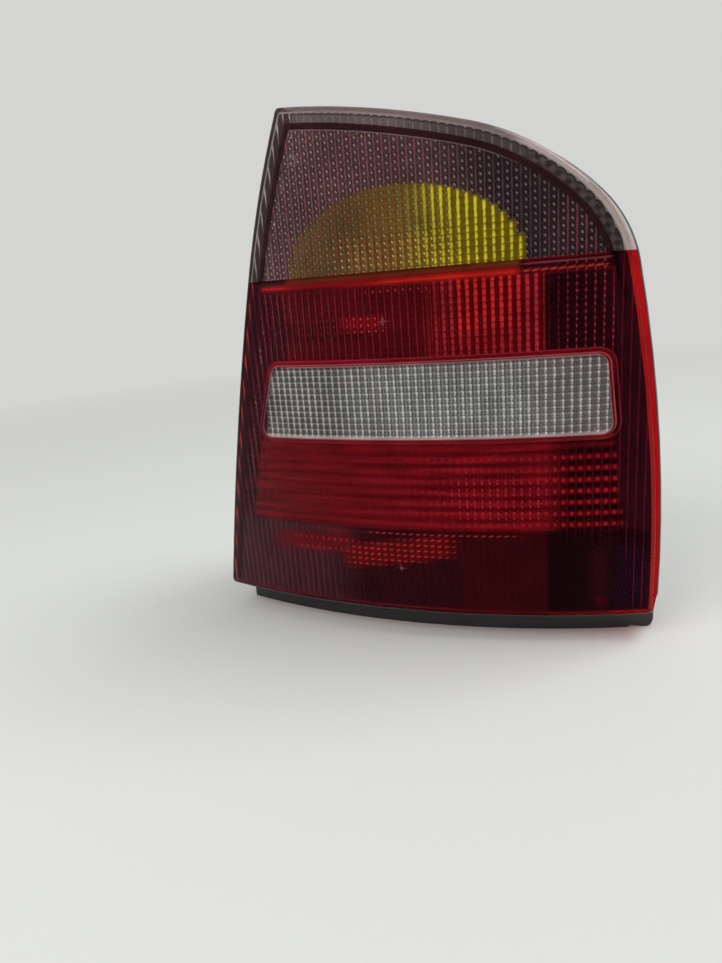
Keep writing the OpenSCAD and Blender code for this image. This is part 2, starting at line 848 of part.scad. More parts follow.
module bulb_carrier() {
    ring_h = 3;
    track_gap = track_t + clearance;
    color("gainsboro")
        difference() {
            union() {
                column(opening_outline(plate_reach), plate_y, plate_back_y);
                // Ring that locates the carrier inside the opening
                difference() {
                    column(opening_outline(-clearance), plate_y - seal_t - ring_h, plate_y + over);
                    column(opening_outline(-clearance - collar_wall), reach_y, plate_y);
                }
                for (z = bulb_zs)
                    cup(z);
                at_stakes()
                    turned(0, 0, track_back_y + stake_head_t, [
                        [0, 0], [stake_r, 0], [stake_head_r, stake_head_t / 2],
                        [stake_head_r, stake_head_t], [stake_r, stake_head_t],
                        [stake_r, stake_head_t + track_t + over], [0, stake_head_t + track_t + over]
                    ]);
                // Connector
                difference() {
                    box(plug_x - plug_w / 2 - plug_wall, plug_x + plug_w / 2 + plug_wall,
                        plate_back_y - over, plate_back_y + plug_depth,
                        plug_z - plug_h / 2 - plug_wall, plug_z + plug_h / 2 + plug_wall);
                    box(plug_x - plug_w / 2, plug_x + plug_w / 2,
                        plate_back_y, plate_back_y + plug_depth + over,
                        plug_z - plug_h / 2, plug_z + plug_h / 2);
                    // Gap over the tracks that come in from three sides
                    box(plug_x - plug_w / 2 - plug_wall - over, plug_x + plug_w / 2 - plug_wall,
                        plate_back_y, plate_back_y + track_gap,
                        plug_z - plug_h / 2 + plug_wall, plug_z + plug_h / 2 - plug_wall);
                    box(plug_x - plug_w / 2 + plug_wall, plug_x + plug_w / 2 - plug_wall,
                        plate_back_y, plate_back_y + track_gap,
                        plug_z - plug_h / 2 - plug_wall - over, plug_z + plug_h / 2 + plug_wall + over);
                }
            }
            for (z = bulb_zs)
                cup_space(z);
            for (z = [indicator_z, stop_z + twin_dz, stop_z - twin_dz, reverse_z, fog_z])
                rod(bulb_x, z, contact_hole_r, plate_y - over, plate_back_y + over);
        }
}

// A strip along the carrier's back through points that lie straight beside or over each other
module strip(points) {
    half_w = track_w / 2;
    for (i = [1 : len(points) - 1]) {
        p = points[i - 1];
        q = points[i];
        box(min(p.x, q.x) - half_w, max(p.x, q.x) + half_w, plate_back_y, track_back_y,
            min(p.y, q.y) - half_w, max(p.y, q.y) + half_w);
    }
}

// The holes in the tracks for the carrier's stakes
module stake_holes() {
    at_stakes()
        rod(0, 0, stake_r + clearance, plate_back_y - over, track_back_y + over);
}

function blade_x(i) = plug_x + (i - 2.5) * blade_pitch;

module blade(i) {
    box(blade_x(i) - blade_w / 2, blade_x(i) + blade_w / 2, plate_back_y, track_back_y + blade_length,
        plug_z - track_t / 2, plug_z + track_t / 2);
}

// The button under a bulb, which reaches through the plate to the bump on the bulb's cap
module contact(z) {
    rod(bulb_x, z, contact_r, cap_back_y + bump_h, track_back_y);
}

// One lane of the tracks that run down the carrier's outer side
function lane_x(i) = bulb_x + cup_r + lane_gap + i * track_step;
function lane_turn_z(i) = reverse_z - cup_r - turn_gap - i * turn_step;

bus_x = opening_left + bus_inset;

// The stakes stand halfway between bulbs that follow each other, and over the fog bulb
stakes = [
    [bus_x, (indicator_z + stop_z) / 2],
    [bus_x, (stop_z + reverse_z) / 2],
    [bus_x, (plug_z + fog_z) / 2],
    [lane_x(0), (stop_z + reverse_z) / 2],
    [lane_x(1), (stop_z + reverse_z) / 2],
    [lane_x(2), (stop_z + reverse_z) / 2],
    [lane_x(2), (indicator_z + stop_z) / 2],
    [bulb_x, reverse_z - cup_r],
    [blade_x(5), (plug_z + fog_z) / 2]
];

module at_stakes() {
    for (p = stakes)
        translate([p.x, 0, p.y])
            children();
}

module track_ground() {
    tab_x = bulb_x - cap_r - tab_t / 2;
    color("goldenrod")
        difference() {
            union() {
                strip([[bus_x, indicator_z], [bus_x, fog_z]]);
                for (z = bulb_zs) {
                    strip([[bus_x, z], [tab_x, z]]);
                    box(bulb_x - cap_r - tab_t, bulb_x - cap_r,
                        cup_front_y + track_w + clearance, track_back_y,
                        z - track_w / 2, z + track_w / 2);
                }
                strip([[bus_x, plug_z], [blade_x(0), plug_z]]);
                blade(0);
            }
            stake_holes();
        }
}

module track_reverse() {
    bend_z = lane_turn_z(0);
    color("goldenrod")
        difference() {
            union() {
                strip([[bulb_x, reverse_z], [bulb_x, bend_z], [blade_x(1), bend_z], [blade_x(1), plug_z]]);
                contact(reverse_z);
                blade(1);
            }
            stake_holes();
        }
}

// A track that leaves its contact towards the outer side, runs down a lane and turns in to its blade
module lane_track(z, lane, blade_number) {
    x = lane_x(lane);
    bend_z = lane_turn_z(lane);
    color("goldenrod")
        difference() {
            union() {
                strip([[bulb_x, z], [x, z], [x, bend_z], [blade_x(blade_number), bend_z],
                    [blade_x(blade_number), plug_z]]);
                contact(z);
                blade(blade_number);
            }
            stake_holes();
        }
}

module track_tail() {
    lane_track(stop_z - twin_dz, 0, 2);
}

module track_stop() {
    lane_track(stop_z + twin_dz, 1, 3);
}

module track_indicator() {
    lane_track(indicator_z, 2, 4);
}

module track_fog() {
    color("goldenrod")
        difference() {
            union() {
                strip([[bulb_x, fog_z], [blade_x(5), fog_z], [blade_x(5), plug_z]]);
                contact(fog_z);
                blade(5);
            }
            stake_holes();
        }
}

neck_depth = 3;
filament_dz = 2.5;
glass_y = cap_back_y - cap_length + neck_depth;

// A bulb's metal cap: filled, with a short collar for the glass, two bayonet pins and its contact bumps
module bulb_cap(z, bumps) {
    chamfer = 0.5;
    pin_length = cap_r + bayonet_reach;
    color("darkkhaki")
        union() {
            turned(bulb_x, z, cap_back_y, [
                [0, 0], [cap_r - chamfer, 0], [cap_r, chamfer], [cap_r, cap_length], [neck_r, cap_length],
                [neck_r, cap_length - neck_depth], [0, cap_length - neck_depth]
            ]);
            for (dz = bumps)
                rod(bulb_x, z + dz, bump_r, cap_back_y - over, cap_back_y + bump_h);
            for (side = [-1, 1])
                translate([bulb_x, bayonet_y, z + (side > 0 ? 0 : -pin_length)])
                    cylinder(r = bayonet_r, h = pin_length);
        }
}

// The glass is a ball on a neck: the ball starts at this angle below level and ends on the axis
ball_from = -38;
ball_steps = 8;
function glass_profile(shrink) =
    let (r = glass_r - shrink, middle = glass_length - glass_r)
    concat(
        [[0, 0], [neck_r - shrink, 0], [neck_r - shrink, middle / 4]],
        [for (i = [0 : ball_steps]) [0, middle] + r * unit(ball_from + (90 - ball_from) * i / ball_steps)]
    );

module bulb_glass(z, tint) {
    color(tint)
        difference() {
            turned(bulb_x, z, glass_y, [for (p = glass_profile(0)) [max(p.x, 0), p.y]]);
            turned(bulb_x, z, glass_y + over / 2,
                [for (p = glass_profile(glass_wall)) [max(p.x, 0), p.y + (p.y > 0 ? over / 2 : 0)]]);
        }
}

// Two stays and the coil between them, at each of the given offsets
module bulb_filament(z, offsets) {
    stay_r = 0.4;
    half_w = 3.5;
    coil_r = 0.9;
    coil_end = 1;
    stay_h = 14;
    color("dimgray")
        for (dz = offsets) {
            for (side = [-1, 1])
                rod(bulb_x + side * half_w, z + dz, stay_r, glass_y - stay_h, glass_y);
            translate([bulb_x - half_w - coil_end, glass_y - stay_h, z + dz])
                rotate([0, 90, 0])
                    cylinder(r = coil_r, h = 2 * (half_w + coil_end));
        }
}

module indicator_bulb_cap() { bulb_cap(indicator_z, [0]); }
module indicator_bulb_glass() { bulb_glass(indicator_z, "orange"); }
module indicator_bulb_filament() { bulb_filament(indicator_z, [0]); }
module stop_bulb_cap() { bulb_cap(stop_z, [-twin_dz, twin_dz]); }
module stop_bulb_glass() { bulb_glass(stop_z, "white"); }
module stop_bulb_filament() { bulb_filament(stop_z, [-filament_dz, filament_dz]); }
module reverse_bulb_cap() { bulb_cap(reverse_z, [0]); }
module reverse_bulb_glass() { bulb_glass(reverse_z, "white"); }
module reverse_bulb_filament() { bulb_filament(reverse_z, [0]); }
module fog_bulb_cap() { bulb_cap(fog_z, [0]); }
module fog_bulb_glass() { bulb_glass(fog_z, "white"); }
module fog_bulb_filament() { bulb_filament(fog_z, [0]); }

lens_smoke();
lens_red();
lens_clear();
reflex_band();
indicator_filter();
reflector();
housing();
body_gasket();
mounting_studs();
breather_caps();
carrier_seal();
bulb_carrier();
track_ground();
track_indicator();
track_stop();
track_tail();
track_reverse();
track_fog();
indicator_bulb_cap();
indicator_bulb_glass();
indicator_bulb_filament();
stop_bulb_cap();
stop_bulb_glass();
stop_bulb_filament();
reverse_bulb_cap();
reverse_bulb_glass();
reverse_bulb_filament();
fog_bulb_cap();
fog_bulb_glass();
fog_bulb_filament();
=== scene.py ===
import math

import bmesh
import bpy
import numpy as np
from mathutils import Matrix, Vector


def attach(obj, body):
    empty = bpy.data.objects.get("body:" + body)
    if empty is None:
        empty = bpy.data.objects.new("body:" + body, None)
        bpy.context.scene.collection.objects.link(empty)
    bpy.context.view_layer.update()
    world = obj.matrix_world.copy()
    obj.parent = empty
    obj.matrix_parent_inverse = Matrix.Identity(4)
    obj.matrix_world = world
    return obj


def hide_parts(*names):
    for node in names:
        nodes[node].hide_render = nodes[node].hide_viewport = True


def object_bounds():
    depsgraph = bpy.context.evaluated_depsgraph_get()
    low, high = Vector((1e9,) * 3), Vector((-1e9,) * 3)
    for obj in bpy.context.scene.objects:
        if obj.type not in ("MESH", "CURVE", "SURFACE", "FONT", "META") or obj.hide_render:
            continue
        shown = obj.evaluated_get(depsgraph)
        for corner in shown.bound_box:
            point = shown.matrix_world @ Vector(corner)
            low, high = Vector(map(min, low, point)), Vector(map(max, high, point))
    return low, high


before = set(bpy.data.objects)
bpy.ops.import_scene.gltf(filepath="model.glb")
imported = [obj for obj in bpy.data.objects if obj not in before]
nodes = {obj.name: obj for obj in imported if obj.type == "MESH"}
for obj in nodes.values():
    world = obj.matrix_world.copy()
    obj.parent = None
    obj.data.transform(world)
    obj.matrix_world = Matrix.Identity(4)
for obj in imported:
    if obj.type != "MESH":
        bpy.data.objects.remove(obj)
cad_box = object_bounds()
MM = 0.001

# ---------------- sizes of the lens, in millimetres
# Outline, sweep and skirt, with the same arcs as in the CAD source
LENS_FOOT_Z = -104.4
RIGHT_FOOT_X, RIGHT_HEADING, RIGHT_R = 113.6, 88.4, 968
LEFT_FOOT_X, LEFT_HEADING, LEFT_R, LEFT_TOP_R = -147.2, 78.6, 2620, 592
SHOULDER_R, CROWN_R, TOP_R = 71, 121, 526
SHOULDER_END, CROWN_END = 41.8, 73.3
DIVISION_Z = 90.7
SHOULDER_Z = DIVISION_Z - 5
CORNER_R, CORNER_BEND = 2.5, 20
SWEEP_R, APEX_X, LAMP_DEPTH = 445, -105.4, 88
SWEEP_Y = SWEEP_R - LAMP_DEPTH
SKIRT_DEPTH, SKIRT_WALL, SKIRT_DRAFT = 17, 2.5, 1.2
EDGE_R = 3.0
# Window and reflex band
WINDOW = [(89.8, 42.4), (-89.2, 42.4), (-102.8, 0.8), (93.4, 0.8)]
WINDOW_R = 5.5
BAND_PITCH, BAND_ROW = 6.33, -11.2
BAND_X, BAND_Z, BAND_CELLS = (-113.4, 96.9), (-53.6, 0.7), (75, 18)
BAND_FRONT, RIB_RISE, BAND_BACK, PYRAMID_RISE = 4.5, 0.85, 5.4, 1.1
# Pillows and flutes inside the lens, modelled in STEPS steps each
PITCH_X, PITCH_Z, SHIFT_X, STEPS = 4.0, 3.4, -0.7, 4
CELL_FACE, CELL_RISE, ROW_RISE, LOW_ROW_RISE, LOW_ROWS_Z = 2.2, 0.55, 0.4, 0.12, -53
FLUTE_RISE, FLUTED_BORDER = 0.45, 11.4
# Nearly plain: the bar under the division, the window's rim, and the lower outer corner within its border
PLAIN_FACE, PLAIN_RISE, SMOOTH_BAR, WINDOW_RIM = 2.5, 0.03, 7.1, (-2.6, 1.2)
CORNER_X, CORNER_Z, CORNER_BORDER = 64, -55, 4.5
CAVITY_X, CAVITY_Z, CAVITY_BACK = (-152 + SHIFT_X, 120), (-105.4, 173.4), SKIRT_DEPTH + 4
COLUMN_FRONT, COLUMN_BACK = 0.5, SKIRT_DEPTH + 2
# How far the painted bright bars, painted reflections in front of the amber cap, stand from their pillows' middles
CAP_BARS = 1.4
# Gap between two lens pieces, and how far a cutter reaches to the sides, to the front and to the back
JOINT, FAR, CUT_FRONT, CUT_BACK = 0.03, 200, -5, 40
BEND_CUTS = np.arange(-148, 118, PITCH_X)


def unit(a):
    """The direction of an angle in degrees."""
    return np.array([math.cos(math.radians(a)), math.sin(math.radians(a))])


def asin(v):
    """Arc sine in degrees."""
    return math.degrees(math.asin(v))


right_c = np.array([RIGHT_FOOT_X, LENS_FOOT_Z]) + RIGHT_R * unit(RIGHT_HEADING + 90)
shoulder_a = asin((SHOULDER_Z - right_c[1]) / RIGHT_R)
shoulder_c = right_c + (RIGHT_R - SHOULDER_R) * unit(shoulder_a)
crown_c = shoulder_c + (SHOULDER_R - CROWN_R) * unit(SHOULDER_END)
top_c = crown_c + (CROWN_R - TOP_R) * unit(CROWN_END)
left_c = np.array([LEFT_FOOT_X, LENS_FOOT_Z]) - LEFT_R * unit(LEFT_HEADING + 90)
left_top_a = 180 - asin((DIVISION_Z - left_c[1]) / LEFT_R)
left_top_c = left_c + (LEFT_R - LEFT_TOP_R) * unit(left_top_a)


def arc(c, r, a0, a1, steps):
    """Points on the circle about c from the angle a0 to a1."""
    return [c + r * unit(a0 + (a1 - a0) * i / steps) for i in range(steps + 1)]


def crossing(c0, r0, c1, r1):
    """The higher of the two points where two circles meet."""
    d = np.linalg.norm(c1 - c0)
    a = (r0 * r0 - r1 * r1 + d * d) / (2 * d)
    h = math.sqrt(r0 * r0 - a * a)
    u = (c1 - c0) / d
    m = c0 + a * u
    side = h * np.array([-u[1], u[0]])
    return max(m + side, m - side, key=lambda p: p[1])


def rounded(points, r, steps):
    """A closed outline with its corners rounded, where it bends by more than CORNER_BEND."""
    out, n = [], len(points)
    for i, p in enumerate(points):
        u, v = ((q - p) / np.linalg.norm(q - p) for q in (points[i - 1], points[(i + 1) % n]))
        half = math.acos(float(np.clip(u @ v, -1, 1))) / 2
        bend = 180 - 2 * math.degrees(half)
        if bend > CORNER_BEND:
            c = p + (u + v) / np.linalg.norm(u + v) * r / math.sin(half)
            start = p + u * r / math.tan(half) - c
            a0 = math.degrees(math.atan2(start[1], start[0]))
            out += [c + r * unit(a0 + bend * i / steps) for i in range(steps + 1)]
        else:
            out.append(p)
    return out


def outline(inset):
    """The lens's outline moved in by inset, with the same number of points whatever the inset."""
    foot = LENS_FOOT_Z + inset
    tip = crossing(top_c, TOP_R - inset, left_top_c, LEFT_TOP_R - inset)
    tip_a = math.degrees(math.atan2(*(tip - top_c)[::-1]))
    tip_left_a = math.degrees(math.atan2(*(tip - left_top_c)[::-1]))
    pts = arc(right_c, RIGHT_R - inset, asin((foot - right_c[1]) / (RIGHT_R - inset)), shoulder_a, 24)[:-1]
    pts += arc(shoulder_c, SHOULDER_R - inset, shoulder_a, SHOULDER_END, 16)[:-1]
    pts += arc(crown_c, CROWN_R - inset, SHOULDER_END, CROWN_END, 18)[:-1]
    pts += arc(top_c, TOP_R - inset, CROWN_END, tip_a, 16)[:-1]
    pts += arc(left_top_c, LEFT_TOP_R - inset, tip_left_a, left_top_a, 12)[:-1]
    pts += arc(left_c, LEFT_R - inset, left_top_a, 180 - asin((foot - left_c[1]) / (LEFT_R - inset)), 20)
    return np.array(rounded(pts, max(CORNER_R - inset * 0.4, 1.0), 5))


def distance_to(points, closed):
    """Distance of each point to a closed polyline, positive inside."""
    a, b = closed, np.roll(closed, -1, 0)
    best = np.full(len(points), 1e9)
    inside = np.zeros(len(points), bool)
    x, z = points[:, 0], points[:, 1]
    for p, q in zip(a, b):
        d = q - p
        t = np.clip(((x - p[0]) * d[0] + (z - p[1]) * d[1]) / (d @ d), 0, 1)
        best = np.minimum(best, np.hypot(x - p[0] - t * d[0], z - p[1] - t * d[1]))
        if p[1] != q[1]:
            cross = (p[1] > z) != (q[1] > z)
            inside ^= cross & (x < (q[0] - p[0]) * (z - p[1]) / (q[1] - p[1]) + p[0])
    return np.where(inside, best, -best)


window_pts = np.array(rounded([np.array(q, float) for q in WINDOW], WINDOW_R, 6))


def window_depth(x, z):
    """Distance into the window, negative outside it."""
    return distance_to(np.stack([x, z], 1), window_pts)


def sweep_y(x, t):
    """Y of the lens's cylinder at the side x and the depth t."""
    return SWEEP_Y - np.sqrt((SWEEP_R - t) ** 2 - (x - APEX_X) ** 2)


# ---------------- meshes
def linked(obj):
    bpy.context.scene.collection.objects.link(obj)
    return obj


def new_object(name, verts, faces):
    mesh = bpy.data.meshes.new(name)
    mesh.from_pydata([tuple(map(float, v)) for v in verts], [], faces)
    mesh.update()
    return linked(bpy.data.objects.new(name, mesh))


def copy_of(obj, name):
    other = obj.copy()
    other.data = obj.data.copy()
    other.name = name
    return linked(other)


def turned_outwards(obj, cuts=()):
    """All faces turned outwards, and the body cut along the given sides so that it can be bent."""
    bm = bmesh.new()
    bm.from_mesh(obj.data)
    bmesh.ops.recalc_face_normals(bm, faces=bm.faces)
    for x in cuts:
        geom = bm.verts[:] + bm.edges[:] + bm.faces[:]
        bmesh.ops.bisect_plane(bm, geom=geom, plane_co=(x, 0, 0), plane_no=(1, 0, 0), dist=1e-4)
    bm.to_mesh(obj.data)
    bm.free()
    return obj


def smoothed(obj, sharp):
    """Smooth shading, but for edges sharper than the angle."""
    obj.data.shade_smooth()
    obj.data.set_sharp_from_angle(angle=math.radians(sharp))
    return obj


def two_slots(obj):
    obj.data.materials.clear()
    for _ in range(2):
        obj.data.materials.append(None)


def loft(name, rings, cuts=()):
    """A closed body through rings of (points, depth)."""
    n = len(rings[0][0])
    verts = [(p[0], t, p[1]) for pts, t in rings for p in pts]
    faces = [list(range(n))]
    for k in range(len(rings) - 1):
        for i in range(n):
            j = (i + 1) % n
            faces.append([k * n + i, (k + 1) * n + i, (k + 1) * n + j, k * n + j])
    faces.append([(len(rings) - 1) * n + i for i in reversed(range(n))])
    return turned_outwards(new_object(name, verts, faces), cuts)


def grid(nx, nz):
    """The quads of a grid of points, and the numbers of the points round its rim."""
    idx = np.arange(nx * nz).reshape(nx, nz)
    quads = np.stack([idx[:-1, :-1], idx[1:, :-1], idx[1:, 1:], idx[:-1, 1:]], -1).reshape(-1, 4)
    rim = np.concatenate([idx[:, 0], idx[-1, 1:], idx[-2::-1, -1], idx[0, -2:0:-1]])
    return quads, rim.tolist()


def lathed(name, centres, rows, angles):
    """Closed bodies turned about Y at the centres (x, z), from rows of depths and radii at each angle."""
    around = len(angles)
    verts, faces = [], []
    for x, z in centres:
        first = len(verts)
        for ys, radii in rows:
            verts += [(x + r * math.cos(a), y, z + r * math.sin(a)) for y, r, a in zip(ys, radii, angles)]
        for k in range(len(rows) - 1):
            row = first + k * around
            for i in range(around):
                j = (i + 1) % around
                faces.append([row + i, row + j, row + around + j, row + around + i])
        faces.append([first + i for i in range(around)])
        faces.append([len(verts) - 1 - i for i in range(around)])
    return turned_outwards(new_object(name, np.array(verts) * MM, faces))


def boolean(a, b, how):
    """Object a after the operation with b, which it uses up."""
    m = a.modifiers.new("cut", "BOOLEAN")
    m.object = b
    m.operation = how
    m.solver = "MANIFOLD"
    bpy.context.view_layer.update()
    done = bpy.data.meshes.new_from_object(a.evaluated_get(bpy.context.evaluated_depsgraph_get()))
    a.modifiers.clear()
    a.data = done
    bpy.data.objects.remove(b)
    return a


# ---------------- paint on the inner side of the lens, with painted light and shade
# Besides the colours of the parts seen behind the lens, the layers paint what light does in it: the dots are painted
# highlights, the columns painted reflections of the reflectors, the creases mostly painted light lines, and some
# darker places painted shade. Each layer starts as one colour, and fields are laid over it. x, z, t and e are the
# place's side, height, depth and distance from the outline in millimetres, wall is 1 on the side walls. Colours are
# sRGB, from 0 to 255.
def srgb(r, g, b):
    """The linear values of a colour."""
    c = np.array([r, g, b]) / 255
    return np.where(c < 0.04045, c / 12.92, ((c + 0.055) / 1.055) ** 2.4)


def soft(v, lo, hi):
    """0 up to lo, 1 from hi on."""
    return np.clip((v - lo) / (hi - lo), 0, 1)


def within(v, lo, hi, edge=0.5):
    """1 between lo and hi, with soft ends."""
    return soft(v, lo - edge, lo + edge) * soft(-v, -hi - edge, -hi + edge)


class Layer:
    """A colour and a strength at each face corner."""

    def __init__(self, n, colour, strength):
        self.values = np.empty((n, 4))
        self.values[:, :3] = srgb(*colour)
        self.values[:, 3] = strength

    def lay(self, mask, colour=None, strength=None):
        mask = np.broadcast_to(mask, len(self.values))
        if colour is not None:
            self.values[:, :3] += mask[:, None] * (srgb(*colour) - self.values[:, :3])
        if strength is not None:
            self.values[:, 3] += mask * (strength - self.values[:, 3])


def layers(x, *starts):
    """Layers that start as (colour, strength)."""
    return [Layer(len(x), *start) for start in starts]


def blank(mask, *layers):
    """Takes the layers away where the mask lies."""
    for layer in layers:
        layer.lay(mask, strength=0)


def paint_smoked(x, z, t, e, wall):
    """Layers of the smoked lens, with painted light and shade: shade with its clearness, creases, columns, dots."""
    right = soft(x, 5, 40)
    left_edge = left_top_c[0] - np.sqrt(LEFT_TOP_R ** 2 - (z - left_top_c[1]) ** 2)
    left = soft(left_edge - x, -12.5, -11.5)
    shade, ridge = layers(x, ((93, 70, 67), 0.4), ((178, 98, 110), 0.95))
    column, glint = layers(x, ((96, 80, 88), 0.0), ((214, 205, 201), 0.7))
    shade.lay(right, (62, 44, 50))
    glint.lay(right, (190, 178, 180), 0.65)
    ridge.lay(right, (132, 110, 116), 0.35)
    ridge.lay(soft(x, 66, 72), (176, 78, 98), 0.8)
    # The amber cap behind, painted onto the lens in its own colours, with painted reflections as bright yellow bars
    # and painted highlights as golden dots
    step_x = (np.floor((x - SHIFT_X - CAP_BARS) / PITCH_X) + 0.5) * PITCH_X + SHIFT_X + CAP_BARS
    r = np.hypot((step_x + 9) / 62, np.maximum(z - 91, 0) / 40.5)
    cap = soft(-r, -1.012, -0.99)
    shade.lay(cap, (104, 82, 50), 0.3)
    shade.lay(cap * soft(x, -36, -6), (120, 98, 38))
    shade.lay(cap * soft(x, 0, 14), (130, 110, 24))
    ridge.lay(cap, (156, 76, 56), 0.95)
    ridge.lay(cap * soft(x, -8, 8), (120, 90, 24), 0.3)
    column.lay(cap * soft(x, -48, -30) * soft(-z, -114, -104), (204, 158, 82), 0.8)
    column.lay(cap * soft(x, -12, 12), (248, 236, 60), 1.0)
    glint.lay(cap, (206, 196, 150), 0.4)
    glint.lay(cap * soft(x, -50, -40) * soft(-z, -112, -104), (240, 208, 140), 0.95)
    glint.lay(cap * soft(x, 18, 24), strength=0.0)
    strip = soft(-e, -9.2, -8.5)
    shade.lay(strip, (116, 102, 99), 0.3)
    shade.lay(strip * soft(x, -10, 30), (92, 80, 79))
    ridge.lay(strip, (150, 135, 132), 0.7)
    blank(soft(-e, -11.2, -10.8), column, glint)
    # Painted light and shade along the right arc: the border's facets lit and dark in turn
    lit_facets = soft(np.sin(np.pi * (x + z) / 4.2) * np.sin(np.pi * (x - z) / 4.2), -0.25, 0.25)
    arc_part = strip * soft(x, 46, 58)
    shade.lay(arc_part, (60, 50, 50))
    shade.lay(arc_part * lit_facets, (104, 92, 90))
    ridge.lay(arc_part, strength=0.0)
    shade.lay(strip * left, (72, 56, 58))
    ridge.lay(strip * left, strength=0.0)
    # Painted highlights: pale streaks along the left edge
    ridge.lay(strip * left * soft(-e, -7.5, -5.0), (216, 206, 203), 0.9)
    # The side walls are painted pale for light that comes through the smoked plastic, darker up to x 50, palest from
    # x 80 on
    shade.lay(wall, (168, 154, 151), 0.42)
    outer = wall * soft(-e, -1.8, -1.4)
    shade.lay(outer * soft(-x, -80, -50), (104, 88, 86))
    shade.lay(outer * soft(x, 50, 80), (192, 180, 176))
    blank(wall, ridge, column, glint)
    return shade, ridge, column, glint


def paint_red(x, z, t, e, wall):
    """The same layers of the red lens."""
    shade, ridge = layers(x, ((84, 9, 17), 0.3), ((158, 34, 48), 0.7))
    column, glint = layers(x, ((236, 54, 50), 0.0), ((238, 52, 68), 0.0))

    def spot(x0, x1, z0, z1, soft_x, soft_z):
        """1 in a rectangle with soft sides."""
        return within(x, x0, x1, soft_x) * within(z, z0, z1, soft_z)

    # From the division down to the window: darker at both sides, with painted reflections of the lit reflector as
    # bright columns and rows of painted highlights
    left, right = soft(-x, 77, 79), soft(x, 60.2, 60.8)
    shade.lay(left, (60, 8, 18))
    ridge.lay(left, (136, 26, 44), 0.9)
    shade.lay(right, (40, 4, 11), 0.2)
    ridge.lay(right, (84, 12, 26), 0.6)
    shade.lay(right * soft(x, 76, 92), (46, 6, 15))
    ridge.lay(right * soft(x, 66, 90), (128, 24, 44), 0.8)
    ridge.lay(soft(x, 6, 20) * (1 - right), strength=0.12)
    lit = soft(x, 2, 18) * (1 - right)
    shade.lay(lit, (100, 4, 12))
    column.lay(soft(x, 7, 22) * (1 - right) * soft(z, 43, 46), (244, 52, 48), 1.0)
    column.lay(lit * within(x, -5, 20, 1), (196, 56, 68), 0.7)
    column.lay(lit * soft(-z, -60, -54), (198, 46, 52), 0.75)
    column.lay(lit * soft(x, 48, 52), (226, 58, 72), 0.8)
    shade.lay(spot(-78, -20, 56, 68, 4, 1.5), (70, 6, 14))
    glint.lay(spot(-70, -40, 58.5, 68, 6, 1), (190, 44, 58), 0.6)
    glint.lay(spot(-40, -18, 58.5, 68, 4, 1), (250, 62, 78), 1.0)
    shade.lay(spot(-42, -20, 61, 68, 4, 1.5), (128, 10, 22))
    glint.lay(spot(-28, 10, 79.6, 82.8, 4, 0.6), (226, 60, 76), 1.0)
    # The bar under the smoked lens
    bar = soft(z, 83.0, 83.6)
    shade.lay(bar, (96, 12, 20), 0.15)
    lit = bar * soft(x, -50, 0)
    shade.lay(lit * soft(-z, -87.3, -86.6), (166, 26, 20))
    shade.lay(lit * within(z, 84.4, 85.6, 0.5) * soft(-x, -49, -47), (216, 44, 32))
    shade.lay(bar * spot(-92, -24, 84.9, 87.3, 3, 0.4), (142, 19, 25))
    shade.lay(spot(-92, -74, 85.4, 86.4, 1, 0.4), (196, 34, 46))
    shade.lay(soft(z, 87.0, 88.4), (122, 54, 30))
    shade.lay(soft(z, 88.4, 89.0) * soft(x, 26, 32), (136, 84, 26))
    shade.lay(soft(z, 87.2, 88.2) * soft(-x, 70, 76), (66, 26, 28))
    shade.lay(spot(-99, -91, 84.6, 88.6, 0.6, 0.4), (46, 18, 24))
    shade.lay(bar * soft(x, 49, 51), (48, 6, 13))
    shade.lay(soft(x, 50, 52) * soft(-x, -90, -88) * within(z, 89.7, 91, 0.3), (140, 20, 40))
    blank(bar, ridge, column, glint)
    # Painted highlights: a row of orange-red dashes, one at each pillow
    dark_end = soft(x, 50, 51) * soft(-x, -89, -88)
    slanted = z - 0.18 * ((x - SHIFT_X) % PITCH_X - 2)
    dash = soft(np.cos((x - SHIFT_X - 2) / PITCH_X * 2 * np.pi), -0.6, 0.0)
    shade.lay(dark_end * within(slanted, 84.6, 85.8, 0.4), (120, 14, 16))
    shade.lay(dark_end * dash * within(slanted, 84.9, 85.4, 0.35), (236, 84, 70))
    shade.lay(within(z, 88.1, 88.6, 0.35) * soft(x, 50, 54) * soft(-x, -99, -97), (176, 84, 94))
    # The reflex band, seen through the lens: its rows lighter and darker as painted light and shade on its ribs,
    # with painted highlights and reflections as spots and bright columns
    band = soft(-z, 1.2, 1.8) * soft(z, -52.6, -52.0)
    band *= soft(x - (-105 + 0.25 * (z + 3)), 0, 0.6) * soft(-(x - (93 - 0.1 * (z + 5))), 0, 0.6)
    wave = 0.5 + 0.5 * np.cos((z - BAND_ROW) / BAND_PITCH * 2 * np.pi)
    shade.lay(band, (94, 8, 15), 0.2)
    shade.lay(band * soft(x, -70, 20), (102, 8, 16))
    rib, outer = band * soft(wave, 0.15, 0.75), band * soft(x, 60, 72)
    shade.lay(rib, (118, 13, 23))
    shade.lay(rib * soft(x, -60, 20), (142, 17, 28))
    shade.lay(outer, (34, 2, 6))
    shade.lay(outer * soft(wave, 0.4, 0.9), (104, 6, 16))
    ridge.lay(band, (150, 28, 44), 0.22)
    column.lay(band, (196, 40, 54), 0.0)
    column.lay(band * soft(x, -50, 10), strength=0.35)
    column.lay(band * soft(x, 62, 68), (204, 24, 40), 0.85)
    column.lay(band * soft(z, -8.5, -8), strength=0.0)
    glint.lay(band, strength=0.1)
    glint.lay(band * spot(14, 60, -46, -22, 3, 1), (226, 60, 70), 0.7)
    glint.lay(band * spot(18, 38, -32, -23, 2, 1), (244, 40, 50), 0.9)
    glint.lay(band * soft(x, 64, 66), strength=0)
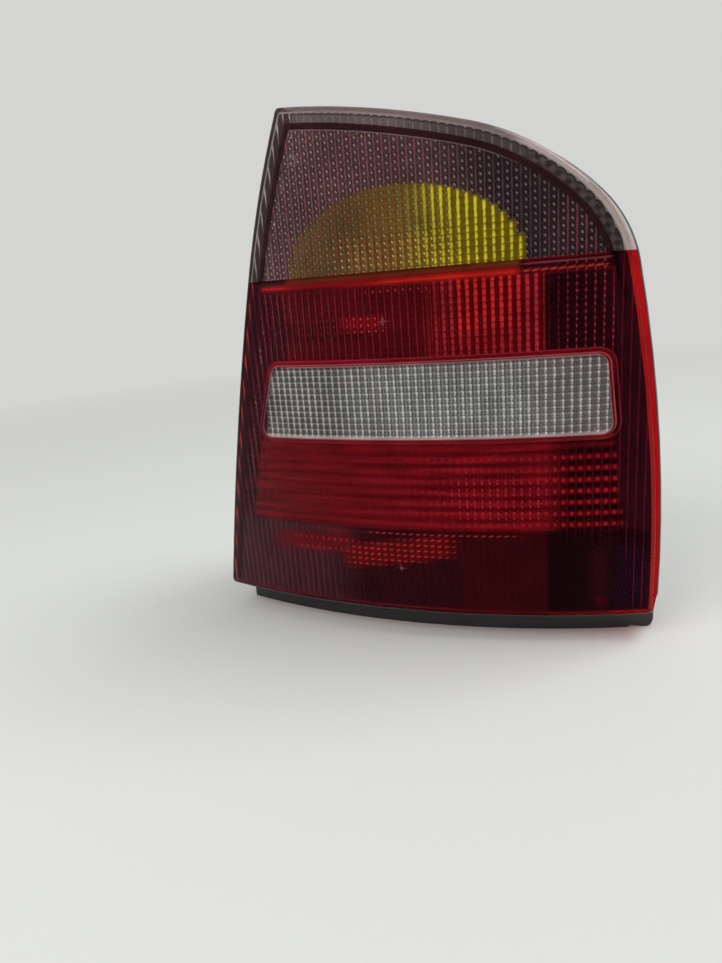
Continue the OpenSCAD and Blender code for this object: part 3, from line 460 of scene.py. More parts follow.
    # Below the band
    low = soft(-z, 52.6, 53.4)
    under = low * soft(-z, 84, 87)
    shade.lay(low, (50, 8, 16), 0.2)
    blank(low, column, glint)
    ridge.lay(low, (72, 14, 24), 0.5)
    inner = low * soft(-x, 40, 62)
    shade.lay(inner, (67, 28, 36))
    ridge.lay(inner, (116, 56, 66), 0.8)
    # A brighter patch, painted light from the reflector behind, with painted reflections as short bright columns
    patch = low * within(x, -102, -48, 7) * within(z - 0.06 * (x + 75), -70, -58, 3.5)
    shade.lay(patch, (104, 15, 23))
    column.lay(patch * soft(x, -88, -84), (184, 36, 34), 0.75)
    ridge.lay(patch, strength=0.1)
    shade.lay(low * within(x, 18, 62, 2), (62, 5, 10))
    shade.lay(low * soft(x, 61.6, 62.4), (26, 2, 8))
    ridge.lay(low * soft(x, 18, 22), strength=0.12)
    ridge.lay(under * soft(x, -60, -40), strength=0.08)
    # Painted highlights: a slanted row of orange-red dashes
    lit = low * soft(x, -56, -44) * soft(-x, -18, -6) * within(z + 66 - 0.16 * (x + 20), -8, 6, 2)
    glint.lay(lit, (208, 48, 44), 0.9)
    shade.lay(lit, (112, 14, 18))
    glint.lay(within(z, -57.6, -54.8, 0.4) * within(x, -36, 46, 4), (192, 54, 50), 0.8)
    # The rim round the window
    ring = within(window_depth(x, z), -2.8, 0.3, 0.15)
    shade.lay(ring, (140, 16, 28), 0.25)
    shade.lay(ring * soft(-z, -0.6, 0.2), (142, 42, 50))
    shade.lay(ring * soft(z, 2, 6) * soft(-z, -38, -34) * soft(np.abs(x + 2), 84, 88), (88, 9, 18))
    shade.lay(ring * soft(x, -60, 40) * soft(z, 0, 1), (120, 12, 26))
    blank(ring, ridge, column, glint)
    # The borders
    left_edge = left_c[0] - np.sqrt(LEFT_R ** 2 - (z - left_c[1]) ** 2)
    border_x = 92.0 + 0.1 * np.maximum(-z, 0)
    side = np.maximum(soft(left_edge - x, -9.9, -9.3), soft(x - border_x, 0, 0.6)) * soft(z, -101, -98)
    shade.lay(side, (50, 8, 19), 0.15)
    blank(side, column, glint)
    ridge.lay(side, (120, 20, 40), 0.6)
    inner = side * soft(-x, 70, 74)
    # Painted highlights: bright slanted streaks near the left edge
    streak = inner * soft(-e, -5.6, -4.2)
    shade.lay(inner * within(e, 5, 9, 1), (42, 14, 26))
    ridge.lay(inner, (96, 20, 40), 0.5)
    shade.lay(streak, (72, 14, 20))
    ridge.lay(streak, (216, 62, 58), 0.9)
    shade.lay(within(x - 91 - (90 - z) * 0.27, -1.3, 1.3, 0.5) * soft(z, 66, 70), (20, 2, 6))
    corner = soft(x, 61.6, 62.4) * soft(-z, 53, 54) * soft(e, 3.6, 4.2)
    shade.lay(corner, (25, 2, 8), 0.1)
    # Painted reflection of the bulb in the dark corner: faint red marks and a purple tint
    shade.lay(corner * spot(83, 91, -97, -62, 3, 5), (48, 6, 13))
    shade.lay(corner * spot(86, 90, -97, -93, 2, 2), (92, 8, 16))
    shade.lay(corner * soft(x, 91, 97) * soft(-z, 56, 66), (32, 6, 22))
    ridge.lay(corner * soft(-x, -96, -94), strength=0.0)
    ridge.lay(corner * within(-z, 53, 60, 1), strength=0.5)
    foot = soft(-z, 100.3, 100.9)
    shade.lay(foot, (112, 22, 42), 0.2)
    shade.lay(foot * soft(x, -20, 40), (104, 10, 22))
    blank(foot, ridge, column)
    glint.lay(foot, (206, 60, 76), 0.7)
    shade.lay(wall, (126, 16, 26), 0.1)
    outer = wall * soft(x, 60, 66)
    shade.lay(outer, (178, 18, 23), 0.0)
    # Painted shadow along the side wall's back edge
    shade.lay(outer * soft(t, 14, 16), (64, 22, 22))
    blank(wall, ridge, column, glint)
    return shade, ridge, column, glint


def paint_clear(x, z, t, e, wall):
    """The same layers of the window."""
    shade, ridge = layers(x, ((118, 118, 115), 0.3), ((176, 176, 172), 0.6))
    column, glint = layers(x, ((226, 227, 222), 0.85), ((255, 255, 255), 1.0))
    left = soft(-x, 10, 60)
    shade.lay(left, (94, 92, 88))
    ridge.lay(left, (60, 60, 58), 0.5)
    column.lay(left, (214, 214, 206), 0.9)
    glint.lay(left, strength=0.35)
    right = soft(x, 50, 66)
    shade.lay(right, (122, 116, 116))
    ridge.lay(right, (104, 98, 99), 0.5)
    column.lay(right, (216, 211, 210), 0.85)
    shade.lay(soft(-z, -2.2, -1.7), (206, 198, 194))
    margin = soft(-x, 95.7 + 0.1 * (22 - z), 96.5 + 0.1 * (22 - z)) * soft(-z, -28, -20)
    shade.lay(margin, (82, 22, 31), 0.2)
    blank(margin, ridge, column, glint)
    shade.lay(wall, (190, 150, 152), 0.4)
    blank(wall, ridge, column, glint)
    return shade, ridge, column, glint


def read(items, name, size=1, kind=float):
    """A property of all items, as an array."""
    values = np.empty(len(items) * size, kind)
    items.foreach_get(name, values)
    return values.reshape(-1, size) if size > 1 else values


def paint(obj, how):
    """Slot 1 for the outer face, 0 for the inner side, which gets its layers as colours at the corners."""
    mesh = obj.data
    centre, normal = read(mesh.polygons, "center", 3), read(mesh.polygons, "normal", 3)
    # The round along the outer side is seen so flatly that it would only mirror, so it is painted as a wall
    rounded_side = (normal[:, 0] > 0.85) & (centre[:, 1] < EDGE_R) & (centre[:, 2] < DIVISION_Z)
    outside = (centre[:, 1] < EDGE_R - 0.1) & (normal[:, 1] < -0.05) & ~rounded_side
    mesh.polygons.foreach_set("material_index", outside.astype(np.int32))
    wall = (np.abs(normal[:, 1]) < 0.3) | (centre[:, 1] > 4) | rounded_side
    wall = np.repeat(wall.astype(float), read(mesh.polygons, "loop_total", kind=np.int32))
    co = read(mesh.vertices, "co", 3)
    edge, pane = distance_to(co[:, [0, 2]], outline(0)), window_depth(co[:, 0], co[:, 2])
    corner = read(mesh.loops, "vertex_index", kind=np.int32)
    x, t, z = co[corner].T
    for name, layer in zip(("shade", "ridge", "column", "glint"), how(x, z, t, edge[corner], wall)):
        values = mesh.attributes.new(name, "FLOAT_COLOR", "CORNER")
        values.data.foreach_set("color", layer.values.astype(np.float32).ravel())
    for name, values in (("edge", edge), ("pane", pane)):
        mesh.attributes.new(name, "FLOAT", "POINT").data.foreach_set("value", values.astype(np.float32))


def bend_to_sweep(obj, sharp=30):
    """From flat millimetres (side, depth, height) to metres on the lens's cylinder."""
    co = read(obj.data.vertices, "co", 3)
    co[:, 1] = sweep_y(co[:, 0], co[:, 1])
    obj.data.vertices.foreach_set("co", (co * MM).ravel())
    obj.data.update()
    return smoothed(obj, sharp)


# ---------------- the pieces
def pillow(u):
    """One bulge per unit of u, 1 in its middle and 0 at its ends."""
    f = u - np.floor(u)
    return 1 - (2 * f - 1) ** 2


def tooth(u):
    """As pillow, but with straight sides."""
    f = u - np.floor(u)
    return 1 - np.abs(2 * f - 1)


def inner_depth(x, z):
    """Depth of the lens's inner face: pillows, flutes in the border, and nearly plain strips."""
    edge = distance_to(np.stack([x, z], 1), outline(0))
    window = window_depth(x, z)
    across, along = pillow((x - SHIFT_X) / PITCH_X), pillow(z / PITCH_Z)
    cell = CELL_FACE + CELL_RISE * across + np.where(z < LOW_ROWS_Z, LOW_ROW_RISE, ROW_RISE) * along
    flute = CELL_FACE + FLUTE_RISE * tooth((x - SHIFT_X) / PITCH_X)
    plain = (z < DIVISION_Z) & (z > DIVISION_Z - SMOOTH_BAR)
    plain |= (window > WINDOW_RIM[0]) & (window < WINDOW_RIM[1])
    plain |= (x > CORNER_X) & (z < CORNER_Z) & (edge > CORNER_BORDER)
    depth = np.where(edge < FLUTED_BORDER, flute, cell)
    return np.where(plain, PLAIN_FACE + PLAIN_RISE * across, depth) + PLAIN_RISE * along


def cavity():
    """The space behind the lens's inner face, with one bulge of the face in each pitch."""
    xs = np.arange(CAVITY_X[0], CAVITY_X[1] + 1e-6, PITCH_X / STEPS)
    zs = np.arange(CAVITY_Z[0], CAVITY_Z[1] + 1e-6, PITCH_Z / STEPS)
    x, z = (g.ravel() for g in np.meshgrid(xs, zs, indexing="ij"))
    front = np.stack([x, inner_depth(x, z), z], 1)
    quads, rim = grid(len(xs), len(zs))
    back = front[rim]
    back[:, 1] = CAVITY_BACK
    faces, base, m = quads.tolist(), len(front), len(rim)
    for i in range(m):
        j = (i + 1) % m
        faces.append([rim[j], rim[i], base + i, base + j])
    faces.append([base + i for i in range(m)])
    obj = turned_outwards(new_object("cavity", np.concatenate([front, back]), faces))
    inner = outline(SKIRT_WALL)
    return boolean(obj, loft("column", [(inner, COLUMN_FRONT), (inner, COLUMN_BACK)]), "INTERSECT")


def grown(points, d):
    """A closed outline moved outwards by d."""
    n = np.roll(points, -1, 0) - np.roll(points, 1, 0)
    n = np.stack([n[:, 1], -n[:, 0]], 1)
    return points + d * n / np.linalg.norm(n, axis=1)[:, None]


def cutter(points):
    """A block of the given outline that goes right through the lens."""
    return loft("cutter", [(points, CUT_FRONT), (points, CUT_BACK)])


def between_heights(z0, z1):
    """A cutter for all of the lens between two heights."""
    return cutter(np.array([[FAR, z0], [FAR, z1], [-FAR, z1], [-FAR, z0]], float))


# From the flat face over the round edge and down the skirt
rings = [(outline(EDGE_R + 0.4), 0)]
rings += [(outline(inset), depth) for inset, depth in ((1 - unit(a)) * EDGE_R for a in range(90, -1, -15))]
rings += [(outline(SKIRT_DRAFT * 0.75), 13.5), (outline(SKIRT_DRAFT), SKIRT_DEPTH)]
body = boolean(loft("lens_body", rings, BEND_CUTS), cavity(), "DIFFERENCE")
lens_clear = boolean(copy_of(body, "reverse_window"), cutter(grown(window_pts, -JOINT)), "INTERSECT")
lens_smoke = boolean(copy_of(body, "smoked_lens"), between_heights(DIVISION_Z + JOINT, FAR), "INTERSECT")
lens_red = boolean(body, between_heights(-FAR, DIVISION_Z), "INTERSECT")
lens_red = boolean(lens_red, cutter(window_pts), "DIFFERENCE")
lens_red.name = "red_lens"
for piece, how in ((lens_clear, paint_clear), (lens_smoke, paint_smoked), (lens_red, paint_red)):
    two_slots(piece)
    paint(piece, how)
    bend_to_sweep(piece)


def reflex_plate():
    """The reflex band: rounded level ribs in front, small pyramids behind."""
    (x0, x1), (z0, z1), (wide, high) = BAND_X, BAND_Z, BAND_CELLS
    xs, zs = np.linspace(x0, x1, 4 * wide + 1), np.linspace(z0, z1, 6 * high + 1)
    x, z = (g.ravel() for g in np.meshgrid(xs, zs, indexing="ij"))
    front = BAND_FRONT - RIB_RISE * pillow((z - BAND_ROW) / BAND_PITCH - 0.5)
    px, pz = (x1 - x0) / wide, (z1 - z0) / high
    back = BAND_BACK + PYRAMID_RISE * np.minimum(tooth((x - x0) / px), tooth((z - z0) / pz))
    verts = np.concatenate([np.stack([x, depth, z], 1) for depth in (front, back)])
    quads, rim = grid(len(xs), len(zs))
    base = len(x)
    faces = quads.tolist() + (quads[:, ::-1] + base).tolist()
    for i in range(len(rim)):
        j = (i + 1) % len(rim)
        faces.append([rim[j], rim[i], rim[i] + base, rim[j] + base])
    obj = new_object("reflex_plate", verts, faces)
    two_slots(obj)
    index = np.zeros(len(faces), np.int32)
    index[len(quads):2 * len(quads)] = 1
    obj.data.polygons.foreach_set("material_index", index)
    return bend_to_sweep(turned_outwards(obj), 25)


# The studs, in millimetres. The thread starts one pitch before THREAD_FULL, where it has its full depth.
STUD_X, STUD_Z, STUD_R, STUD_TIP, STUD_ROOT_R = 74, 71, 3, 18, 3.5
STUD_HEAD_R, STUD_HEAD_T, BOSS_Y = 6, 2.5, -1
THREAD_PITCH, THREAD_DEPTH, THREAD_FULL = 1.0, 0.55, 3.0
HEAD_CHAMFER, TIP_CHAMFER, END_R = 0.4, 0.9, 0.4
STUD_SIDES, THREAD_STEPS, STUD_SHARP = 32, 8, 35


def threaded_studs(head_y):
    """Four studs along Y, turned, with a screw thread that runs out towards the boss and a flat head inside."""
    thread_y, neck_y = THREAD_FULL - THREAD_PITCH, head_y + STUD_HEAD_T
    turn = np.arange(STUD_SIDES) / STUD_SIDES
    flat = np.ones(STUD_SIDES)
    profile = [(head_y, END_R), (head_y, STUD_HEAD_R - HEAD_CHAMFER), (head_y + HEAD_CHAMFER, STUD_HEAD_R)]
    profile += [(neck_y, STUD_HEAD_R), (neck_y, STUD_ROOT_R), (BOSS_Y, STUD_ROOT_R), (BOSS_Y, STUD_R)]
    rows = [(flat * y, flat * r) for y, r in [*profile, (thread_y, STUD_R)]]
    for y in np.arange(thread_y, STUD_TIP + 1e-6, THREAD_PITCH / THREAD_STEPS)[1:]:
        groove = 1 - tooth(y / THREAD_PITCH - turn)
        cut = THREAD_DEPTH * groove * min(1, (y - thread_y) / THREAD_PITCH)
        tip = STUD_R + 0.1 - max(0, y - STUD_TIP + TIP_CHAMFER)
        rows.append((flat * y, np.minimum(STUD_R - cut, tip)))
    rows.append((flat * STUD_TIP, flat * END_R))
    centres = [(side * STUD_X, up * STUD_Z) for side in (-1, 1) for up in (-1, 1)]
    return smoothed(lathed("threaded_studs", centres, rows, turn * 2 * math.pi), STUD_SHARP)


# The mould's pin marks, in millimetres: their centres, and their profile as (height, radius)
PIN_SPOTS = [(-92, 36), (-92, -44), (-70, 20), (-72, -58), (78, 30), (82, -60), (66, 8), (-62, 106), (62, 96)]
PIN_PROFILE = [(0.0, 2.9), (0.28, 2.9), (0.28, 2.3), (0.1, 2.2), (0.1, 0.3)]
PIN_SIDES = 28


def moulding_marks(back_y):
    """Low round marks that the mould's pins leave on the housing's back, each with its raised ring."""
    flat = np.ones(PIN_SIDES)
    rows = [(flat * (back_y + h), flat * r) for h, r in PIN_PROFILE]
    return lathed("moulding_marks", PIN_SPOTS, rows, [2 * math.pi * i / PIN_SIDES for i in range(PIN_SIDES)])


def lowest_y(node):
    return min((node.matrix_world @ v.co).y for v in node.data.vertices)


# ---------------- nodes
def new_node(nt, kind, values=None, links=None, **settings):
    """A node with its settings, its inputs' values and its inputs' links."""
    node = nt.nodes.new("ShaderNode" + kind)
    for key, v in settings.items():
        setattr(node, key, v)
    for key, v in (values or {}).items():
        node.inputs[key].default_value = v
    for key, v in (links or {}).items():
        nt.links.new(v, node.inputs[key])
    return node


def emptied(owner):
    """A new material or world, with its tree emptied."""
    owner.use_nodes = True
    owner.node_tree.nodes.clear()
    return owner, owner.node_tree


def material(name):
    return emptied(bpy.data.materials.new(name))


def surfaced(mat, shader):
    new_node(mat.node_tree, "OutputMaterial", links={"Surface": shader})
    return mat


def coords(nt):
    return new_node(nt, "TexCoord").outputs["Object"]


def place(nt):
    """The place's side and height, in metres."""
    axes = new_node(nt, "SeparateXYZ", links={0: coords(nt)}).outputs
    return axes["X"], axes["Z"]


def noise(nt, scale, detail=3, rough=0.5, vector=None):
    values = {"Scale": scale, "Detail": detail, "Roughness": rough}
    return new_node(nt, "TexNoise", values, {"Vector": vector or coords(nt)}).outputs["Fac"]


def ramp(nt, fac, low, high):
    """From one colour to another, each given as (position, colour)."""
    node = new_node(nt, "ValToRGB", links={"Fac": fac})
    for element, (position, colour) in zip(node.color_ramp.elements, (low, high)):
        element.position = position
        element.color = (*colour, 1)
    return node.outputs["Color"]


def spread(nt, fac, lo, hi, from_lo=0.3, from_hi=0.7, kind="LINEAR"):
    """fac stretched, so that it runs from lo to hi between its own from_lo and from_hi."""
    values = {"From Min": from_lo, "From Max": from_hi, "To Min": lo, "To Max": hi}
    return new_node(nt, "MapRange", values, {"Value": fac}, interpolation_type=kind).outputs["Result"]


def mixed(nt, fac, first, second):
    """From one shader to another as fac rises."""
    return new_node(nt, "MixShader", links={"Fac": fac, 1: first, 2: second}).outputs["Shader"]


def length(nt, vector):
    return new_node(nt, "VectorMath", links={0: vector}, operation="LENGTH").outputs["Value"]


class Number:
    """A number that the nodes work out at each point, with plain arithmetic."""

    def __init__(self, nt, socket):
        self.nt, self.socket = nt, socket

    def math(self, how, *others):
        values, links = {}, {}
        for i, v in enumerate((self, *others)):
            if isinstance(v, Number):
                links[i] = v.socket
            else:
                values[i] = v
        return Number(self.nt, new_node(self.nt, "Math", values, links, operation=how).outputs[0])

    def __add__(self, other):
        return self.math("ADD", other)

    def __sub__(self, other):
        return self.math("SUBTRACT", other)

    def __mul__(self, other):
        return self.math("MULTIPLY", other)

    def off_middle(self, pitch, start=0.0):
        """Distance from the middle of the pitch that it lies in. start is in pitches."""
        return ((self * (1 / pitch) - start).math("FRACT") - 0.5) * pitch

    def phase(self, pitch, start=0.0):
        """0 in the middle of each pitch, 1 at its ends."""
        return self.off_middle(pitch, start).math("ABSOLUTE") * (2 / pitch)

    def step(self, lo, hi, to_lo=0.0, to_hi=1.0):
        """A smooth step from to_lo at lo to to_hi at hi. lo may be the greater one."""
        if lo > hi:
            lo, hi, to_lo, to_hi = hi, lo, to_hi, to_lo
        return Number(self.nt, spread(self.nt, self.socket, to_lo, to_hi, lo, hi, "SMOOTHSTEP"))

    def between(self, lo, hi, edge=0.15):
        """1 between lo and hi, with soft ends."""
        return self.step(lo - edge, lo + edge) * self.step(hi + edge, hi - edge)


def apart(dx, dz):
    """The length of a way given by its two sides."""
    return (dx * dx + dz * dz).math("SQRT")


def oval(dx, dz, half_w, half_h):
    """1 in the middle of a small soft oval."""
    wide, high = dx * (1 / half_w), dz * (1 / half_h)
    return (wide * wide + high * high).step(1.5, 0.35)


def blend(nt, fac, a, b):
    """From the colour a to b as fac rises. Each is a socket, or an sRGB colour."""
    values, links = {}, {0: fac.socket}
    for i, v in ((6, a), (7, b)):
        if isinstance(v, tuple):
            values[i] = (*srgb(*v), 1)
        else:
            links[i] = v
    return new_node(nt, "Mix", values, links, data_type="RGBA").outputs[2]


def scaled(nt, colour, factor):
    return new_node(nt, "VectorMath", links={0: colour, "Scale": factor.socket}, operation="SCALE").outputs[0]


def attribute(nt, name):
    return new_node(nt, "Attribute", attribute_name=name).outputs


def layer(nt, name):
    """The colour and the strength of a layer that paint() made."""
    outputs = attribute(nt, name)
    return outputs["Color"], Number(nt, outputs["Alpha"])


# ---------------- materials
PLASTIC_IOR = 1.49
# How strongly clear plastic mirrors, on the lens's outer face and on its inner side
FACE_SHINE, INNER_SHINE = 0.045, 0.12


def clear_plastic(nt, colour, rough, shine):
    """Clear plastic with fine scratches that blur it in places."""
    values = {"Transmission Weight": 1.0, "IOR": PLASTIC_IOR, "Specular Tint": (shine, shine, shine, 1)}
    links = {"Base Color": colour, "Roughness": spread(nt, noise(nt, 160, 4), *rough)}
    return new_node(nt, "BsdfPrincipled", values, links).outputs["BSDF"]


def passed_by_light(nt, shader, shadow):
    """The shader, through which light passes for shadows, in the tint of shadow."""
    let_by = new_node(nt, "BsdfTransparent", {"Color": (*shadow, 1)}).outputs["BSDF"]
    return mixed(nt, new_node(nt, "LightPath").outputs["Is Shadow Ray"], shader, let_by)


def glass(name, light, dark, shadow, rough=(0.0, 0.02), shine=1.0):
    """Tinted clear plastic or glass, whose tint varies a little."""
    mat, nt = material(name)
    tint = ramp(nt, noise(nt, 35), (0.35, dark), (0.65, light))
    return surfaced(mat, passed_by_light(nt, clear_plastic(nt, tint, rough, shine), shadow))


# Each dot is a painted highlight; DOT_SHADE is the painted shadow on its dark side
DOT_RISE = 0.18
DOT_W, DOT_H, FLAT_DOT = 0.45, 0.7, (1.3, 0.6)
DOT_SHADE = (20, 11, 14)


def pillow_colour(
    nt, x, z, uneven, fields, kept=0.3, rungs=0.0, whole_from=None, rows_below=None, bar=(0.5, 0.32),
    bar_at=0.0, beads=None, flat_below=None, streaks=None
):
    """Each pillow's colour with its painted highlight as a dot, its painted reflection as a column, its creases as
    mostly painted light lines, and the clearness.

    kept is what the columns keep between two pillows up to the height whole_from, rungs are painted light level
    lines, and the columns light up in the band's rows below the height rows_below. bar is where a column fades and
    where it is full, bar_at how far it is from the pillow's middle. beads are painted highlights on the creases as
    (first x, lowest z, colour), dots lie flat below the height flat_below. streaks are uneven level lines between
    two heights.
    """
    start = SHIFT_X / PITCH_X
    across, along = x.phase(PITCH_X, start) + uneven, z.phase(PITCH_Z) + uneven
    bar_across = x.phase(PITCH_X, start + bar_at / PITCH_X) + uneven
    high = z.phase(PITCH_Z, DOT_RISE) + uneven
    colour, clearness = layer(nt, "shade")
    column, column_part = layer(nt, "column")
    if streaks:
        level = new_node(nt, "Mapping", {"Scale": (22, 1, 420)}, {"Vector": coords(nt)}).outputs["Vector"]
        streak = Number(nt, noise(nt, 1.0, 4, 0.6, level)).step(0.35, 0.65, -0.3, 0.22)
        colour = scaled(nt, colour, streak * z.between(*streaks, 0.5) * fields["edge"].step(3, 5) + 1)
    if rungs:
        colour = blend(nt, high.step(0.45, 0.15) * column_part * rungs, colour, column)
    # The columns, painted reflections
    broken = along.step(0.62, 0.86, 1.0, kept)
    if whole_from:
        broken = broken.math("MAXIMUM", z.step(whole_from - 2, whole_from + 2))
    if rows_below:
        row = z.phase(BAND_PITCH, BAND_ROW / BAND_PITCH - 0.5).step(0.5, 0.15)
        below = z.step(rows_below + 0.5, rows_below - 0.5)
        broken = broken * (below * -1 + 1) + row * below
    broken = broken.math("MAXIMUM", fields["edge"].step(9.5, 8.5))
    colour = blend(nt, bar_across.step(*bar) * broken * column_part, colour, column)
    # The creases, mostly painted light lines, and beads of painted highlight
    ridge, ridge_part = layer(nt, "ridge")
    colour = blend(nt, across.step(0.78, 0.91) * ridge_part, colour, ridge)
    if beads:
        first, lowest, tint = beads
        bead = across.step(0.74, 0.9) * high.step(0.46, 0.2)
        bead = bead * x.step(first - 2, first + 12) * z.step(lowest - 1, lowest)
        colour = blend(nt, bead * fields["edge"].step(10, 12), colour, tint)
    # The dots, painted highlights, each with a painted shadow on its dark side
    glint, glint_part = layer(nt, "glint")
    off_x = x.off_middle(PITCH_X, start) + uneven * 2
    off_z = z.off_middle(PITCH_Z, DOT_RISE) + uneven * 2
    shaded = off_x.between(0.35, 1.45, 0.35) * 0.25
    shaded = shaded.math("MAXIMUM", oval(off_x - 0.75, off_z + 0.5, 0.7, 1.2) * 0.45)
    colour = blend(nt, shaded * glint_part, colour, DOT_SHADE)
    spot = oval(off_x + off_z * 0.3, off_z, DOT_W, DOT_H)
    if flat_below:
        low = z.step(flat_below + 0.5, flat_below - 0.5)
        spot = spot * (low * -1 + 1) + oval(off_x, off_z - off_x * 0.25, *FLAT_DOT) * low
    return blend(nt, spot * glint_part, colour, glint), clearness


def gate_mark(nt, colour, x, z, at_x, at_z):
    """The ring and the cross that a gate of the mould leaves."""
    off_x, off_z = x - at_x, z - at_z
    off = apart(off_x, off_z)
    colour = blend(nt, off.step(1.5, 1.1), colour, (96, 28, 34))
    colour = blend(nt, (off - 0.95).math("ABSOLUTE").step(0.3, 0.12), colour, (150, 86, 90))
    cross = off_x.math("ABSOLUTE").math("MINIMUM", off_z.math("ABSOLUTE")).step(0.3, 0.1) * off.step(5, 2)
    return blend(nt, cross * 0.55, colour, (150, 80, 84))


def scuff(nt, colour, x, z, at_x, at_z, size):
    """A worn spot."""
    worn = apart(x - at_x, z - at_z).step(size, size * 0.3) * Number(nt, noise(nt, 900, 5, 0.7)).step(0.5, 0.62)
    return blend(nt, worn * 0.7, colour, (178, 168, 166))


def optics(name, lines, shadow, marks=(), scuffs=(), **pillows):
    """The inner side of a lens: a diffuse coat with painted light and shade, mixed with clear plastic by the
    clearness.

    lines are bands on a field as (field, from, to, waviness, colour), which may add the first and the last x. marks
    are the centres of gate marks, scuffs worn spots as (x, z, size). The rest is for pillow_colour().
    """
    mat, nt = material(name)
    x, z = (Number(nt, socket) * (1 / MM) for socket in place(nt))
    fields = {field: Number(nt, attribute(nt, field)["Fac"]) for field in ("edge", "pane")}
    uneven = Number(nt, noise(nt, 230, 2)).step(0.3, 0.7, -0.06, 0.06)
    colour, clearness = pillow_colour(nt, x, z, uneven, fields, **pillows)
    across = x.phase(PITCH_X, SHIFT_X / PITCH_X) + uneven
    for field, lo, hi, wave, tint, *ends in lines:
        value = fields[field]
        if wave:
            value = value + across.math("POWER", 3) * wave
        part = value.between(lo, hi)
        if ends:
            part = part * x.step(ends[0] - 4, ends[0] + 4) * x.step(ends[1] + 8, ends[1] - 8)
        colour = blend(nt, part, colour, tint)
    for mark in marks:
        colour = gate_mark(nt, colour, x, z, *mark)
    for spot in scuffs:
        colour = scuff(nt, colour, x, z, *spot)
    colour = scaled(nt, colour, Number(nt, noise(nt, 55, 4)).step(0.3, 0.7, 0.86, 1.12))
    coat = new_node(nt, "BsdfDiffuse", links={"Color": colour}).outputs["BSDF"]
    clear = clear_plastic(nt, colour, (0.02, 0.08), INNER_SHINE)
    return surfaced(mat, passed_by_light(nt, mixed(nt, clearness.socket, coat, clear), shadow))


def moulded(name, light, dark, rough=(0.35, 0.55), grain=900, bump_h=0.00003, metallic=0.0):
    """Moulded plastic, rubber or metal with a fine grain and slow changes of shade and gloss."""
    mat, nt = material(name)
    normal = new_node(nt, "Bump", {"Strength": 0.4, "Distance": bump_h}, {"Height": noise(nt, grain, 2)})
    links = {
        "Base Color": ramp(nt, noise(nt, 25, 5, 0.6), (0.3, dark), (0.7, light)),
        "Roughness": spread(nt, noise(nt, 60, 4), *rough),
        "Normal": normal.outputs["Normal"],
    }
    return surfaced(mat, new_node(nt, "BsdfPrincipled", {"Metallic": metallic}, links).outputs["BSDF"])


def boxed(nt, x0, x1, z0, z1, blur=0.0004):
    """1 inside a rectangle in X and Z, given in millimetres."""
    inside = None
    for socket, lo, hi in zip(place(nt), (x0, z0), (x1, z1)):
        for edge, half in ((lo, blur), (hi, -blur)):
            part = Number(nt, spread(nt, socket, 0, 1, edge * MM - half, edge * MM + half))
            inside = inside * part if inside else part
    return inside


def half_ellipse(nt, x0, z0, half_w, h):
    """1 inside the upper half of an ellipse in X and Z, given in millimetres."""
    values = {"Location": (x0 * MM, 0, z0 * MM), "Scale": (half_w * MM, 1e3, h * MM)}
    inner = new_node(nt, "Mapping", values, {"Vector": coords(nt)}, vector_type="TEXTURE").outputs["Vector"]
    inside = Number(nt, spread(nt, length(nt, inner), 0, 1, 1.01, 0.99))
    return inside * boxed(nt, x0 - 2 * half_w, x0 + 2 * half_w, z0, z0 + 2 * h)


# The reflector's cells: the indicator's as (x, z, half width, height), the others as (x0, x1, z0, z1)
ARCHED_CELL = (-12.5, 93.0, 60.4, 39.2)
SQUARE_CELLS = [(-90, 64, 44.3, 92.5), (-101, 93, 2.8, 40.4), (-124, 62, -90, -53.7)]


def metallised():
    """Bright metal inside the cells, dark plastic outside them."""
    mat, nt = material("metallised")
    bright = ramp(nt, noise(nt, 20), (0.3, (0.72, 0.72, 0.73)), (0.7, (0.86, 0.86, 0.86)))
    links = {"Base Color": bright, "Roughness": spread(nt, noise(nt, 90, 4), 0.05, 0.16)}
    metal = new_node(nt, "BsdfPrincipled", {"Metallic": 1.0}, links).outputs["BSDF"]
    dull = ramp(nt, noise(nt, 25), (0.3, (0.012, 0.006, 0.009)), (0.7, (0.022, 0.012, 0.016)))
    links = {"Base Color": dull, "Roughness": spread(nt, noise(nt, 70, 4), 0.35, 0.5)}
    plastic = new_node(nt, "BsdfPrincipled", links=links).outputs["BSDF"]
    in_cell = half_ellipse(nt, *ARCHED_CELL)
    for cell in SQUARE_CELLS:
        in_cell = in_cell.math("MAXIMUM", boxed(nt, *cell))
    return surfaced(mat, mixed(nt, in_cell.socket, plastic, metal))


def set_material(obj, *mats):
    """Fills the slots that the object has, or gives it new ones."""
    if len(obj.data.materials) == len(mats):
        for i, mat in enumerate(mats):
            obj.data.materials[i] = mat
    else:
        obj.data.materials.clear()
        for mat in mats:
            obj.data.materials.append(mat)


# Slot 0 of each lens
# In the smoked lens's lines the rim is paler from x 50 on, painted light that comes through it
SMOKE_LINES = [
    ("edge", 1.6, 3.2, -0.7, (160, 147, 143)),
    ("edge", 1.6, 3.0, 0.0, (204, 192, 187), 50, 200),
    ("edge", 3.3, 3.9, -0.7, (62, 50, 52), -60, 200),
    ("edge", 7.6, 10.75, 0.0, (58, 29, 33)),
    ("edge", 10.9, 11.25, 0.0, (164, 136, 138), -64, 44),
]
RED_LINES = [
    ("pane", -3.0, -2.6, 0.0, (160, 44, 56)),
    ("pane", -0.8, -0.2, 0.0, (196, 104, 112)),
    ("edge", 2.0, 2.9, 0.0, (214, 26, 22), 92, 200),
]
CLEAR_LINES = [("pane", 0.1, 0.9, 0.0, (206, 190, 188), -80, 200)]
smoke = optics(
    "smoked_optics", SMOKE_LINES, (0.7, 0.6, 0.6), scuffs=[(-62, 150, 5)],
    whole_from=112.0, bar=(0.44, 0.3), bar_at=CAP_BARS
)
